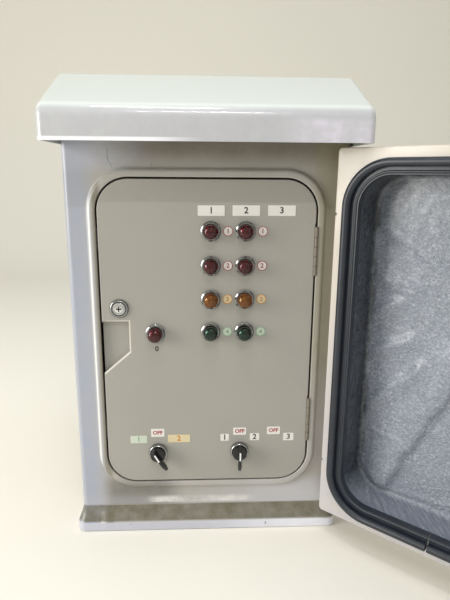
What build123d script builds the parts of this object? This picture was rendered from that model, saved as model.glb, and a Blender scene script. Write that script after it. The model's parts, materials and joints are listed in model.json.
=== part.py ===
from build123d import *
from math import cos, hypot, radians, sin
import os

os.makedirs("parts", exist_ok=True)

# Traffic signal controller cabinet in moulded glass fibre: a flared body with a raised lip
# round its front opening, a sloped hood, a deep outer door with a bulb seal standing open,
# and a closed inner door that carries the signal lamps, two selector switches and a lock.
#
# Frame: millimetres, origin at the centre of the foot's underside, +X to the right as seen
# from the front, +Y into the cabinet, +Z up.

# Body moulding
pillar_width = 33.0
sill_height = 33.0
header_height = 59.0
body_depth = 250.0
body_corner = 8.0
wall = 4.0
floor_thickness = 5.0
foot_rim_height = 15.0
foot_round = 2.0
flare_height = 27.0
flare_side = 8.0
flare_front = 12.0
flare_corner = 6.0
flare_steps = 4

# Inner door and the raised lip of the opening round it
inner_width = 312.0
inner_height = 470.0
inner_corner = 45.0
inner_skin = 3.5
inner_gap = 2.5
lip_width = 11.5
lip_height = 8.0
lip_round = 5.5
lip_edge_round = 1.6
lip_base_round = 3.5
stop_gap = 0.3

# Hood
hood_overhang_side = 8.0
hood_overhang_front = 83.0
hood_overhang_back = 8.0
hood_fascia = 41.0
hood_rise = 55.0
hood_slope_run = 116.0
hood_wall = 4.5
hood_edge_round = 10.0
hood_fold_round = 22.0
hood_lap = 27.0
hood_boss_radius = 15.0
hood_boss_from_side = 53.0
hood_boss_from_front = 63.0
hood_boss_bore = 22.0
hood_bolt_radius = 4.0
hood_bolt_reach = 18.0
hood_washer_radius = 9.0
hood_washer = 1.6
hood_head_radius = 7.5
hood_head = 5.3

# Outer door
outer_depth = 66.0
outer_gap_below = 2.0
outer_gap_above = 3.0
outer_corner = 6.0
outer_skin = 4.0
rim_width = 33.0
tray_corner = 46.0
liner_skin = 3.5
door_standoff = 12.5
open_angle = 138.0
pivot_from_side = 10.0
pivot_from_rim = 12.0

# Bulb seal on the rim of the outer door
seal_bulb_radius = 5.75
seal_bulb_wall = 1.6
seal_bulb_from_edge = 19.5
seal_clearance = 0.5
seal_base = 2.0
seal_ridge_radius = 2.2
seal_leg = 9.0
seal_leg_thickness = 2.0
seal_joint_from_edge = 172.0
seal_joint_gap = 4.0
seal_end_gap = 0.6
seal_base_half = 4.5
seal_ridge_height = 1.2

# Outer hinges: flat goose-neck arms that run in slots of the door's hollow edge
outer_hinge_from_end = 89.0
arm_thickness = 3.0
arm_width = 5.0
arm_clearance = 1.5
slot_clearance = 0.7
eye_radius = 5.5
outer_pin_radius = 2.5
pin_fit = 0.05
foot_plate = 2.5
foot_plate_height = 28.0
foot_plate_depth = 20.0
foot_plate_start = 34.5
foot_screw_from_start = 13.0
foot_screw_shift = 8.5
foot_screw_radius = 2.5
foot_screw_head = 4.8
foot_nut = 4.0
screw_fit = 0.1
carrier_sheet = 2.5
carrier_reach = 4.5
carrier_web = 9.5

# Inner hinges
inner_hinge_length = 70.0
inner_hinge_from_end = 102.0
knuckle_radius = 2.6
knuckle_clearance = 0.5
inner_pin_radius = 1.2
leaf_gap = 0.3
leaf_foot = 9.0
knuckle_count = 5
knuckle_gap = 0.3
notch_extra = 6.0
stop_from_end = 85.0
stop_height = 30.0
stop_sheet = 2.0
stop_foot = 5.0
stop_overlap = 4.0

# Lamps, 22 mm class
lamp_pitch = 50.0
lamps_from_right = 151.5
lamps_from_top = 72.5
lamp_rows = 4
lamp_columns = 2
single_lamp_from_left = 78.0
single_lamp_z = 10.5
fitting_hole = 11.15
fitting_thread = 10.8
fitting_flange = 14.0
bezel_radius = 14.5
bezel_height = 5.5
lens_radius = 10.7
lens_height = 19.5
lens_round = 6.5
thread_length = 16.0
contact_block = 24.0
flange_height = 1.5
fitting_nut = 15.0
fitting_nut_height = 5.0
part_gap = 0.3

# Selector switches
selector_from_left = 78.0
selector_from_right = 106.0
selector_from_bottom = 50.5
second_selector_lift = 0.5
selector_turns = (30.0, 0.0)
selector_bezel_height = 8.0
knob_radius = 10.7
knob_clearance = 0.5
knob_disc = 14.0
knob_top = 24.0
knob_tip = 12.5
knob_tail = 28.0
knob_tail_height = 16.0
knob_bar = 6.0
knob_shaft = 3.0
selector_block = 30.0
selector_block_depth = 26.0

# Quarter-turn locks
lock_from_left = 26.0
lock_z = 49.0
lock_ring_radius = 13.5
lock_ring_height = 3.5
lock_barrel = 10.5
lock_plug = 9.0
lock_shaft = 5.0
lock_fit = 0.05
lock_end_wall = 3.0
lock_key_length = 11.0
lock_key_width = 2.4
lock_key_depth = 2.0
lock_nut_radius = 13.5
lock_nut_height = 5.0
cam_thickness = 2.5
cam_gap = 0.5
cam_square = 6.0
cam_hub = 7.0
cam_screw_radius = 2.0
cam_screw_length = 7.0
cam_screw_head = 5.0
cam_screw_height = 1.3
inner_barrel_length = 12.0
inner_cam_gap = 2.5
inner_cam_reach = 46.0
inner_cam_width = 12.0
outer_barrel_length = 30.0
outer_lock_from_left = 18.0
outer_lock_z = 3.0
outer_cam_reach = 26.5
outer_cam_width = 10.0
pocket_width = 39.0
pocket_top = 28.5
pocket_corner = -18.4
pocket_low = -52.0
pocket_depth = 9.0

# Mounting plate and rails
plate_from_side = 38.0
plate_thickness = 2.0
plate_standoff = 14.0
plate_fixing_inset_x = 15.0
plate_fixing_inset_z = 20.0
plate_screw_head = 3.0
standoff_radius = 9.0
plate_screw = 3.0
rail_width = 35.0
rail_depth = 7.5
rail_sheet = 1.0
rail_flange = 5.0
rail_from_edge = 20.0
lower_rail_lift = 105.0
rail_spacing = 150.0

# Equipment: width, height and depth of each unit, measured from the rails' front
controller_height = 150.0
controller_depth = 62.0
controller_overhang = 8.0
beside_controller = 100.0
socket_row_height = 16.0
socket_row_depth = 12.0
socket_row_from_edge = 14.0
display_side = 30.0
display_height = 56.0
display_depth = 1.5
vent_pitch = 6.0
vent_side = 8.0
vent_depth = 3.0
supply_terminals = 8.0
supply_terminal_depth = 10.0
supply_size = (60.0, 110.0, 72.0)
supply_from_breaker = 52.0
breaker_size = (36.0, 84.0, 66.0)
breaker_from_end = 11.0
breaker_nose = 20.0
lever_well = 15.0
relay_size = (22.0, 78.0, 58.0)
relay_count = 5
relay_pitch = 24.0
relays_from_end = 17.0
terminal_size = (6.0, 52.0, 42.0)
terminal_pitch = 6.2
terminals_from_end = 15.2
beside_terminals = 160.0
rail_seat = 0.2
earth_bar_length = 120.0
earth_bar_width = 12.0
earth_bar_foot = 20.0
earth_bar_height = 8.0
earth_bar_thickness = 6.0
earth_bar_lift = 30.0
earth_screw = 3.2
lever_axle = 3.0
lever_width = 14.0
lever_length = 17.0
lever_turn = 35.0

# Base fixings and cable entry
base_bolt_radius = 6.0
base_bolt_from_side = 38.0
base_bolt_from_front = 33.0
gland_opening_from_bolts = 40.0
gland_opening_depth = 90.0
gland_plate_margin = 15.0
gland_plate_thickness = 2.0
gland_count = 5
gland_from_end = 33.0
gland_radius = 12.5
gland_thread = 10.0
gland_bore = 8.0
gland_hex_height = 8.0
gland_dome_height = 14.0
gland_nut_radius = 14.0
gland_nut_height = 4.5
gland_screw = 2.0

# Places worked out from the sizes above
body_width = inner_width + 2 * (inner_gap + lip_width + pillar_width)
flare_top_z = foot_rim_height + flare_height
inner_centre_z = flare_top_z + sill_height + lip_width + inner_gap + inner_height / 2
body_top_z = inner_centre_z + inner_height / 2 + inner_gap + lip_width + header_height
hood_bottom_z = body_top_z - hood_lap
outer_bottom_z = flare_top_z + outer_gap_below
outer_top_z = hood_bottom_z - outer_gap_above
front_y = -body_depth / 2
back_y = body_depth / 2
side_x = body_width / 2
inner_front_y = front_y - lip_height
inner_depth = lip_height + wall - stop_gap
opening_width = inner_width + 2 * inner_gap
opening_height = inner_height + 2 * inner_gap
opening_corner = inner_corner + inner_gap
rim_y = front_y - door_standoff
inner_hinge_x = (inner_width + inner_gap) / 2
leaf_thickness = (inner_gap - leaf_gap) / 2
hinge_x = side_x - pivot_from_side
hinge_y = rim_y - pivot_from_rim
outer_height = outer_top_z - outer_bottom_z
outer_centre_z = (outer_top_z + outer_bottom_z) / 2
outer_hinge_spread = outer_height / 2 - outer_hinge_from_end
inner_hinge_spread = inner_height / 2 - inner_hinge_from_end
hood_boss_x = side_x - hood_boss_from_side
hood_boss_y = body_depth / 2 - hood_boss_from_front
base_bolt_x = side_x - base_bolt_from_side
base_bolt_y = body_depth / 2 - base_bolt_from_front
gland_opening_width = 2 * (base_bolt_x - gland_opening_from_bolts)
gland_pitch = (gland_opening_width - 2 * gland_from_end) / (gland_count - 1)
lamp_first_x = inner_width / 2 - lamps_from_right
lamp_first_z = inner_height / 2 - lamps_from_top
selector_places = (
    (selector_from_left - inner_width / 2, selector_from_bottom - inner_height / 2),
    (
        inner_width / 2 - selector_from_right,
        selector_from_bottom + second_selector_lift - inner_height / 2,
    ),
)
lock_x = lock_from_left - inner_width / 2
outer_lock_x = outer_lock_from_left - inner_width / 2
pocket_right = pocket_width - inner_width / 2
foot_screw_y = hinge_y + foot_plate_start + foot_screw_from_start
foot_screw_levels = [
    outer_centre_z + side * outer_hinge_spread + shift * foot_screw_shift
    for side in (1, -1)
    for shift in (1, -1)
]
lock_level = inner_centre_z + outer_lock_z
inner_cam_depth = lip_height + wall + inner_cam_gap
plate_y = back_y - wall - plate_standoff
plate_width = body_width - 2 * plate_from_side
plate_height = inner_height
plate_fixing_x = plate_width / 2 - plate_fixing_inset_x
plate_fixing_z = plate_height / 2 - plate_fixing_inset_z
rail_length = plate_width - 2 * rail_from_edge
lower_rail = lower_rail_lift - plate_height / 2
middle_rail = lower_rail + rail_spacing
earth_bar_z = earth_bar_lift - plate_height / 2
controller_width = rail_length - beside_controller
controller_x = (controller_width - rail_length) / 2 - controller_overhang
breaker_x = rail_length / 2 - breaker_from_end
supply_x = breaker_x - supply_from_breaker
relay_first_x = relays_from_end - rail_length / 2
terminal_count = int((rail_length - beside_terminals) / terminal_pitch)
terminal_first_x = rail_length / 2 - terminals_from_end - terminal_count * terminal_pitch

# Planes: one on the body's front face, one on the inner door's front, both facing the viewer
front = Plane(origin=(0, front_y, inner_centre_z), x_dir=(1, 0, 0), z_dir=(0, -1, 0))
panel = Plane(origin=(0, inner_front_y, inner_centre_z), x_dir=(1, 0, 0), z_dir=(0, -1, 0))

# The open outer door's own frame: local X runs from the hinge along the door, local Y is up
# and local Z points out of the tray
swing = radians(open_angle)
along = (-cos(swing), -sin(swing), 0)
inward = (-sin(swing), cos(swing), 0)
door = Plane(origin=(hinge_x, hinge_y, 0), x_dir=along, z_dir=inward)
door_centre = (body_width / 2 - pivot_from_side, outer_centre_z)
rim = door.offset(pivot_from_rim)
face = door.offset(pivot_from_rim - outer_depth)


def save(block, name):
    block.part.label = name
    export_step(block.part, f"parts/{name}.step")


def foot_section(level, inset):
    """One level of the flared foot: 0 at the top of the rim, 1 where the walls begin."""
    spread = (1 - level) ** 2
    RectangleRounded(
        body_width + 2 * (flare_side * spread - inset),
        body_depth + 2 * (flare_front * spread - inset),
        body_corner + flare_corner * spread - inset,
    )


def outline_edges(block, y, margin):
    """Edges at this depth on or inside the opening's outline grown by the margin."""
    half_x = opening_width / 2 + margin + 0.1
    half_z = opening_height / 2 + margin + 0.1
    return block.edges().filter_by(
        lambda e: abs(e.center().Y - y) < 0.01
        and abs(e.center().X) < half_x
        and abs(e.center().Z - inner_centre_z) < half_z
    )


# Body: one moulding with a flared foot, a floor, a closed top and a raised lip in front
with BuildPart() as cabinet_shell:
    with BuildSketch(Plane.XY):
        foot_section(0, 0)
    extrude(amount=foot_rim_height)
    fillet(cabinet_shell.edges().group_by(Axis.Z)[0], radius=foot_round)
    for step in range(flare_steps + 1):
        level = step / flare_steps
        with BuildSketch(Plane.XY.offset(foot_rim_height + level * flare_height)):
            foot_section(level, 0)
    loft()
    fillet(
        cabinet_shell.edges().filter_by_position(
            Axis.Z, foot_rim_height - 0.01, foot_rim_height + 0.01
        ),
        radius=foot_round,
    )
    with BuildSketch(Plane.XY.offset(flare_top_z)):
        foot_section(1, 0)
    extrude(amount=body_top_z - flare_top_z)

    # Hollow of the foot and of the walls
    with BuildSketch(Plane.XY.offset(floor_thickness)):
        foot_section(0, wall)
    extrude(amount=foot_rim_height - floor_thickness, mode=Mode.SUBTRACT)
    for step in range(flare_steps + 1):
        level = step / flare_steps
        with BuildSketch(Plane.XY.offset(foot_rim_height + level * flare_height)):
            foot_section(level, wall)
    loft(mode=Mode.SUBTRACT)
    with BuildSketch(Plane.XY.offset(flare_top_z)):
        foot_section(1, wall)
    extrude(amount=body_top_z - wall - flare_top_z, mode=Mode.SUBTRACT)

    # Raised lip, hollow behind, round the opening
    with BuildSketch(front):
        RectangleRounded(
            opening_width + 2 * lip_width,
            opening_height + 2 * lip_width,
            opening_corner + lip_width,
        )
    extrude(amount=lip_height)
    fillet(outline_edges(cabinet_shell, front_y, lip_width), radius=lip_base_round)
    fillet(outline_edges(cabinet_shell, inner_front_y, lip_width), radius=lip_round)
    with BuildSketch(front.offset(lip_height - wall)):
        RectangleRounded(
            opening_width + 2 * (lip_width - wall),
            opening_height + 2 * (lip_width - wall),
            opening_corner + lip_width - wall,
        )
    extrude(amount=-lip_height, mode=Mode.SUBTRACT)
    with BuildSketch(front.offset(lip_height)):
        RectangleRounded(opening_width, opening_height, opening_corner)
    extrude(amount=-2 * wall, mode=Mode.SUBTRACT)
    fillet(outline_edges(cabinet_shell, inner_front_y, 0), radius=lip_edge_round)

    # Room for the inner hinges' knuckles in the edge of the lip
    for side in (1, -1):
        level = inner_centre_z + side * inner_hinge_spread - inner_hinge_length / 2 - 1
        with BuildSketch(Plane.XY.offset(level)):
            with Locations((inner_hinge_x, inner_front_y)):
                Circle(knuckle_radius + knuckle_clearance)
        extrude(amount=inner_hinge_length + 2, mode=Mode.SUBTRACT)

    # Floor: four base bolts and the cable entry
    with BuildSketch(Plane.XY):
        with GridLocations(2 * base_bolt_x, 2 * base_bolt_y, 2, 2):
            Circle(base_bolt_radius)
        RectangleRounded(gland_opening_width, gland_opening_depth, 8)
    extrude(amount=floor_thickness, mode=Mode.SUBTRACT)

    # Right side: screws of the outer hinges
    with BuildSketch(Plane.YZ.offset(side_x)):
        with Locations(*[(foot_screw_y, level) for level in foot_screw_levels]):
            Circle(foot_screw_radius + screw_fit)
    extrude(amount=-wall, mode=Mode.SUBTRACT)

    # Top: four bolts hold the hood
    with BuildSketch(Plane.XY.offset(body_top_z)):
        with GridLocations(2 * hood_boss_x, 2 * hood_boss_y, 2, 2):
            Circle(hood_bolt_radius + 0.3)
    extrude(amount=-wall, mode=Mode.SUBTRACT)
save(cabinet_shell, "cabinet_shell")

# Hood: a separate cap, open below, bolted through four bosses to the body's top
hood_front_y = front_y - hood_overhang_front
hood_back_y = back_y + hood_overhang_back
hood_half = side_x + hood_overhang_side
crease_z = hood_bottom_z + hood_fascia
ridge_z = crease_z + hood_rise


def hood_profile(inset):
    """Side profile: fascia, slope, flat top, slope and fascia, drawn this far inside."""
    shift = inset * (hypot(hood_rise, hood_slope_run) - hood_rise) / hood_slope_run
    crease = crease_z - shift
    return (
        (hood_front_y + inset, hood_bottom_z),
        (hood_front_y + inset, crease),
        (hood_front_y + hood_slope_run + shift_top(inset), ridge_z - inset),
        (hood_back_y - hood_slope_run - shift_top(inset), ridge_z - inset),
        (hood_back_y - inset, crease),
        (hood_back_y - inset, hood_bottom_z),
    )


def shift_top(inset):
    """How far the ridge moves inward when the slope and the top are drawn inside."""
    return inset * (hypot(hood_rise, hood_slope_run) - hood_slope_run) / hood_rise


with BuildPart() as hood_hollow:
    with BuildSketch(Plane.YZ):
        Polygon(*hood_profile(hood_wall), align=None)
    extrude(amount=hood_half - hood_wall, both=True)
    with BuildSketch(Plane.XY.offset(body_top_z)):
        with GridLocations(2 * hood_boss_x, 2 * hood_boss_y, 2, 2):
            Circle(hood_boss_radius)
    extrude(amount=ridge_z - body_top_z, mode=Mode.SUBTRACT)

with BuildPart() as hood:
    with BuildSketch(Plane.YZ) as hood_side:
        Polygon(*hood_profile(0), align=None)
        fillet(hood_side.vertices().filter_by(lambda v: v.Y > crease_z - 1), radius=hood_fold_round)
    extrude(amount=hood_half, both=True)
    fillet(
        hood.edges().filter_by(
            lambda e: abs(abs(e.center().X) - hood_half) < 0.01 and e.center().Z > hood_bottom_z + 1
        ),
        radius=hood_edge_round,
    )
    add(hood_hollow.part, mode=Mode.SUBTRACT)
    with BuildSketch(Plane.XY.offset(body_top_z)):
        with GridLocations(2 * hood_boss_x, 2 * hood_boss_y, 2, 2):
            Circle(hood_bolt_radius)
    extrude(amount=hood_boss_bore, mode=Mode.SUBTRACT)
save(hood, "hood")

with BuildPart() as hood_bolts:
    with BuildSketch(Plane.XY.offset(body_top_z - wall)):
        with GridLocations(2 * hood_boss_x, 2 * hood_boss_y, 2, 2):
            Circle(hood_bolt_radius - 0.05)
    extrude(amount=wall + hood_bolt_reach)
    with BuildSketch(Plane.XY.offset(body_top_z - wall)):
        with GridLocations(2 * hood_boss_x, 2 * hood_boss_y, 2, 2):
            Circle(hood_washer_radius)
    extrude(amount=-hood_washer)
    with BuildSketch(Plane.XY.offset(body_top_z - wall - hood_washer)):
        with GridLocations(2 * hood_boss_x, 2 * hood_boss_y, 2, 2):
            RegularPolygon(hood_head_radius, 6)
    extrude(amount=-hood_head)
save(hood_bolts, "hood_bolts")

# Outer door: one moulding, a deep tray with a hollow edge all round
with BuildPart() as outer_door_shell:
    with BuildSketch(face):
        with Locations(door_centre):
            RectangleRounded(body_width, outer_height, outer_corner)
    extrude(amount=outer_depth)
    fillet(outer_door_shell.faces().sort_by(Axis(face.origin, inward))[0].edges(), radius=4)
    fillet(outer_door_shell.faces().sort_by(Axis(face.origin, inward))[-1].edges(), radius=2)
    with BuildSketch(face.offset(outer_skin)):
        with Locations(door_centre):
            RectangleRounded(
                body_width - 2 * outer_skin, outer_height - 2 * outer_skin, outer_corner - 3
            )
            RectangleRounded(
                body_width - 2 * (rim_width - liner_skin),
                outer_height - 2 * (rim_width - liner_skin),
                tray_corner + liner_skin,
                mode=Mode.SUBTRACT,
            )
    extrude(amount=outer_depth - 2 * outer_skin, mode=Mode.SUBTRACT)
    with BuildSketch(face.offset(outer_skin)):
        with Locations(door_centre):
            RectangleRounded(
                body_width - 2 * rim_width, outer_height - 2 * rim_width, tray_corner
            )
    extrude(amount=outer_depth - outer_skin, mode=Mode.SUBTRACT)

    # Slots in the hinge edge that the goose-neck arms run in
    for side in (1, -1):
        level = outer_centre_z + side * outer_hinge_spread - arm_thickness / 2 - slot_clearance
        slot_plane = Plane(origin=(hinge_x, hinge_y, level), x_dir=along, z_dir=(0, 0, 1))
        slot_height = arm_thickness + 2 * slot_clearance
        with BuildSketch(slot_plane):
            with Locations((-pivot_from_side - 1, -pivot_from_rim - 1)):
                Rectangle(3.8, 6, align=(Align.MIN, Align.MIN))
            with Locations((-pivot_from_side - 1, outer_skin - pivot_from_rim)):
                Rectangle(outer_skin + 1.5, 52, align=(Align.MIN, Align.MIN))
        extrude(amount=slot_height, mode=Mode.SUBTRACT)

    # Hole for the lock, near the free edge
    with BuildSketch(face):
        with Locations((hinge_x - outer_lock_x, inner_centre_z + outer_lock_z)):
            Circle(lock_barrel + 0.3)
    extrude(amount=outer_skin, mode=Mode.SUBTRACT)
save(outer_door_shell, "outer_door_shell")

# Seal: a hollow bulb on a base strip, with an inner ridge and a leg over the tray's edge
seal_left = seal_bulb_from_edge - pivot_from_side
seal_right = body_width - seal_bulb_from_edge - pivot_from_side
seal_low = outer_bottom_z + seal_bulb_from_edge
seal_high = outer_top_z - seal_bulb_from_edge
seal_corner = tray_corner + rim_width - seal_bulb_from_edge
joint_x = seal_joint_from_edge - pivot_from_side
to_wall = rim_width - seal_bulb_from_edge
bulb_height = door_standoff - seal_clearance - seal_bulb_radius

with BuildPart() as door_seal:
    with BuildLine(rim):
        FilletPolyline(
            (joint_x - seal_end_gap / 2, seal_low),
            (seal_left, seal_low),
            (seal_left, seal_high),
            (seal_right, seal_high),
            (seal_right, seal_low),
            (joint_x + seal_end_gap / 2, seal_low),
            radius=seal_corner,
        )
    # The section's local X points to the tray and its local Y off the rim
    section = Plane(
        origin=rim.from_local_coords((joint_x - seal_end_gap / 2, seal_low, 0)),
        x_dir=(0, 0, 1),
        z_dir=along,
    )
    with BuildSketch(section):
        with Locations((0, bulb_height)):
            Circle(seal_bulb_radius)
        with Locations((-seal_base_half, 0)):
            Rectangle(
                to_wall + seal_leg_thickness + seal_base_half,
                seal_base,
                align=(Align.MIN, Align.MIN),
            )
        with Locations((to_wall - 1.5, seal_ridge_height)):
            Circle(seal_ridge_radius)
        with Locations((to_wall, seal_base)):
            Rectangle(seal_leg_thickness, seal_leg + seal_base, align=(Align.MIN, Align.MAX))
        with Locations((to_wall, 0)):
            Rectangle(20, 30, align=(Align.MAX, Align.MAX), mode=Mode.SUBTRACT)
        with Locations((0, bulb_height)):
            Circle(seal_bulb_radius - seal_bulb_wall, mode=Mode.SUBTRACT)
    sweep()
    # Square-cut ends that gape outward at the joint
    with BuildSketch(rim.offset(-seal_leg - 1)):
        with BuildLine():
            Polyline(
                (joint_x - seal_joint_gap / 2, seal_low - 10),
                (joint_x + seal_joint_gap / 2, seal_low - 10),
                (joint_x + seal_end_gap / 2, seal_low + to_wall + 5),
                (joint_x - seal_end_gap / 2, seal_low + to_wall + 5),
                close=True,
            )
        make_face()
    extrude(amount=40, mode=Mode.SUBTRACT)
save(door_seal, "door_seal")

# Goose-neck arms on the body's side; each eye turns on a pin in the door's edge
arm_line_x = pivot_from_side + arm_clearance + arm_width / 2
with BuildPart() as outer_hinge_arms:
    for side in (1, -1):
        level = outer_centre_z + side * outer_hinge_spread
        arm_plane = Plane(origin=(hinge_x, hinge_y, level - arm_thickness / 2))
        with BuildSketch(arm_plane):
            with BuildLine():
                FilletPolyline(
                    (0, 0),
                    (arm_line_x, 8),
                    (arm_line_x, foot_plate_start + 14),
                    radius=6,
                )
            trace(line_width=arm_width)
            Circle(eye_radius)
            Circle(outer_pin_radius + pin_fit, mode=Mode.SUBTRACT)
        extrude(amount=arm_thickness)
        with BuildSketch(Plane.XY.offset(level - foot_plate_height / 2)):
            with Locations((side_x, hinge_y + foot_plate_start)):
                Rectangle(foot_plate, foot_plate_depth, align=(Align.MIN, Align.MIN))
        extrude(amount=foot_plate_height)
    with BuildSketch(Plane.YZ.offset(side_x)):
        with Locations(*[(foot_screw_y, level) for level in foot_screw_levels]):
            Circle(foot_screw_radius + screw_fit)
    extrude(amount=foot_plate, mode=Mode.SUBTRACT)
save(outer_hinge_arms, "outer_hinge_arms")

with BuildPart() as outer_hinge_screws:
    places = [(foot_screw_y, level) for level in foot_screw_levels]
    with BuildSketch(Plane.YZ.offset(side_x - wall - foot_nut)):
        with Locations(*places):
            Circle(foot_screw_radius)
    extrude(amount=foot_nut + wall + foot_plate)
    with BuildSketch(Plane.YZ.offset(side_x + foot_plate)):
        with Locations(*places):
            Circle(foot_screw_head)
    extrude(amount=2.4, taper=20)
    with BuildSketch(Plane.YZ.offset(side_x - wall - foot_nut)):
        with Locations(*places):
            RegularPolygon(foot_screw_head, 6)
    extrude(amount=foot_nut)
save(outer_hinge_screws, "outer_hinge_screws")

# A bent carrier under the rim holds each pin above and below its arm
carrier_depth = pivot_from_rim - outer_skin + eye_radius
carrier_height = arm_thickness + 2 * (slot_clearance + carrier_sheet)
with BuildPart() as outer_hinge_carriers:
    for side in (1, -1):
        low = outer_centre_z + side * outer_hinge_spread - carrier_height / 2
        with BuildSketch(Plane(origin=(hinge_x, hinge_y, low), x_dir=along, z_dir=(0, 0, 1))):
            with Locations((carrier_web, outer_skin - pivot_from_rim)):
                Rectangle(
                    carrier_web + carrier_reach, carrier_depth, align=(Align.MAX, Align.MIN)
                )
            Circle(outer_pin_radius, mode=Mode.SUBTRACT)
        extrude(amount=carrier_height)
        with BuildSketch(
            Plane(
                origin=(hinge_x, hinge_y, low + carrier_sheet), x_dir=along, z_dir=(0, 0, 1)
            )
        ):
            with Locations((carrier_web - carrier_sheet, outer_skin - pivot_from_rim)):
                Rectangle(
                    carrier_web + carrier_reach, carrier_depth, align=(Align.MAX, Align.MIN)
                )
        extrude(amount=carrier_height - 2 * carrier_sheet, mode=Mode.SUBTRACT)
save(outer_hinge_carriers, "outer_hinge_carriers")

with BuildPart() as outer_hinge_pins:
    for side in (1, -1):
        low = outer_centre_z + side * outer_hinge_spread - carrier_height / 2
        with BuildSketch(Plane(origin=(hinge_x, hinge_y, low))):
            Circle(outer_pin_radius)
        extrude(amount=carrier_height)
        with BuildSketch(Plane(origin=(hinge_x, hinge_y, low + carrier_height))):
            Circle(outer_pin_radius + 1.3)
        extrude(amount=1.5)
save(outer_hinge_pins, "outer_hinge_pins")

# Lock of the outer door: a barrel in the tray's floor and a long spindle that carries the
# cam to the lip of the body
lock_along = hinge_x - outer_lock_x
spindle_reach = inner_front_y + wall + cam_gap - rim_y + outer_depth

with BuildPart() as outer_lock_barrel:
    with BuildSketch(face):
        with Locations((lock_along, lock_level)):
            Circle(lock_ring_radius)
    extrude(amount=-lock_ring_height)
    fillet(outer_lock_barrel.faces().sort_by(Axis(face.origin, inward))[0].edges(), radius=2)
    with BuildSketch(face):
        with Locations((lock_along, lock_level)):
            Circle(lock_barrel)
    extrude(amount=outer_barrel_length)
    with BuildSketch(face.offset(-lock_ring_height)):
        with Locations((lock_along, lock_level)):
            Circle(lock_plug + lock_fit)
    extrude(amount=lock_ring_height + outer_barrel_length - lock_end_wall, mode=Mode.SUBTRACT)
    with BuildSketch(face):
        with Locations((lock_along, lock_level)):
            Circle(lock_shaft + lock_fit)
    extrude(amount=outer_barrel_length, mode=Mode.SUBTRACT)
save(outer_lock_barrel, "outer_lock_barrel")

with BuildPart() as outer_lock_nut:
    with BuildSketch(face.offset(outer_skin)):
        with Locations((lock_along, lock_level)):
            RegularPolygon(lock_nut_radius, 6)
            Circle(lock_barrel, mode=Mode.SUBTRACT)
    extrude(amount=lock_nut_height)
save(outer_lock_nut, "outer_lock_nut")

with BuildPart() as outer_lock_spindle:
    with BuildSketch(face.offset(0.5 - lock_ring_height)):
        with Locations((lock_along, lock_level)):
            Circle(lock_plug)
    extrude(amount=lock_ring_height - 0.7 + outer_barrel_length - lock_end_wall)
    with BuildSketch(face.offset(0.5 - lock_ring_height)):
        with Locations((lock_along, lock_level)):
            Rectangle(lock_key_length, lock_key_width)
            Rectangle(lock_key_width, lock_key_length)
    extrude(amount=lock_key_depth, mode=Mode.SUBTRACT)
    with BuildSketch(face):
        with Locations((lock_along, lock_level)):
            Circle(lock_shaft)
    extrude(amount=spindle_reach)
    with BuildSketch(face.offset(spindle_reach)):
        with Locations((lock_along, lock_level)):
            Rectangle(cam_square, cam_square)
    extrude(amount=cam_thickness)
    with BuildSketch(face.offset(spindle_reach + cam_thickness)):
        with Locations((lock_along, lock_level)):
            Circle(cam_screw_radius)
    extrude(amount=-cam_screw_length, mode=Mode.SUBTRACT)
save(outer_lock_spindle, "outer_lock_spindle")

with BuildPart() as outer_lock_cam:
    with BuildSketch(face.offset(spindle_reach)):
        with Locations((lock_along, lock_level)):
            Circle(cam_hub)
            Rectangle(outer_cam_width, outer_cam_reach, align=(Align.CENTER, Align.MAX))
            Rectangle(cam_square, cam_square, mode=Mode.SUBTRACT)
    extrude(amount=cam_thickness)
save(outer_lock_cam, "outer_lock_cam")

with BuildPart() as outer_lock_screw:
    with BuildSketch(face.offset(spindle_reach + cam_thickness)):
        with Locations((lock_along, lock_level)):
            Circle(cam_screw_head)
    extrude(amount=cam_screw_height)
    with BuildSketch(face.offset(spindle_reach + cam_thickness)):
        with Locations((lock_along, lock_level)):
            Circle(cam_screw_radius)
    extrude(amount=-cam_screw_length)
save(outer_lock_screw, "outer_lock_screw")

# Inner door: a shallow pan with a pocket that leaves room for the outer door's cam
pocket_edge = -inner_width / 2
slant = (pocket_corner - pocket_low) / (pocket_right - pocket_edge)


def pocket_outline(grow):
    """The pocket's corners, grown all round by this much and open at the panel's edge."""
    low = grow * hypot(1, slant)
    return (
        (pocket_edge - 1, pocket_top + grow),
        (pocket_right + grow, pocket_top + grow),
        (pocket_right + grow, pocket_corner + slant * grow - low),
        (pocket_edge - 1, pocket_low - slant - low),
    )


lamp_places = [
    (lamp_first_x + column * lamp_pitch, lamp_first_z - row * lamp_pitch)
    for column in range(lamp_columns)
    for row in range(lamp_rows)
] + [(single_lamp_from_left - inner_width / 2, single_lamp_z)]

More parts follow.
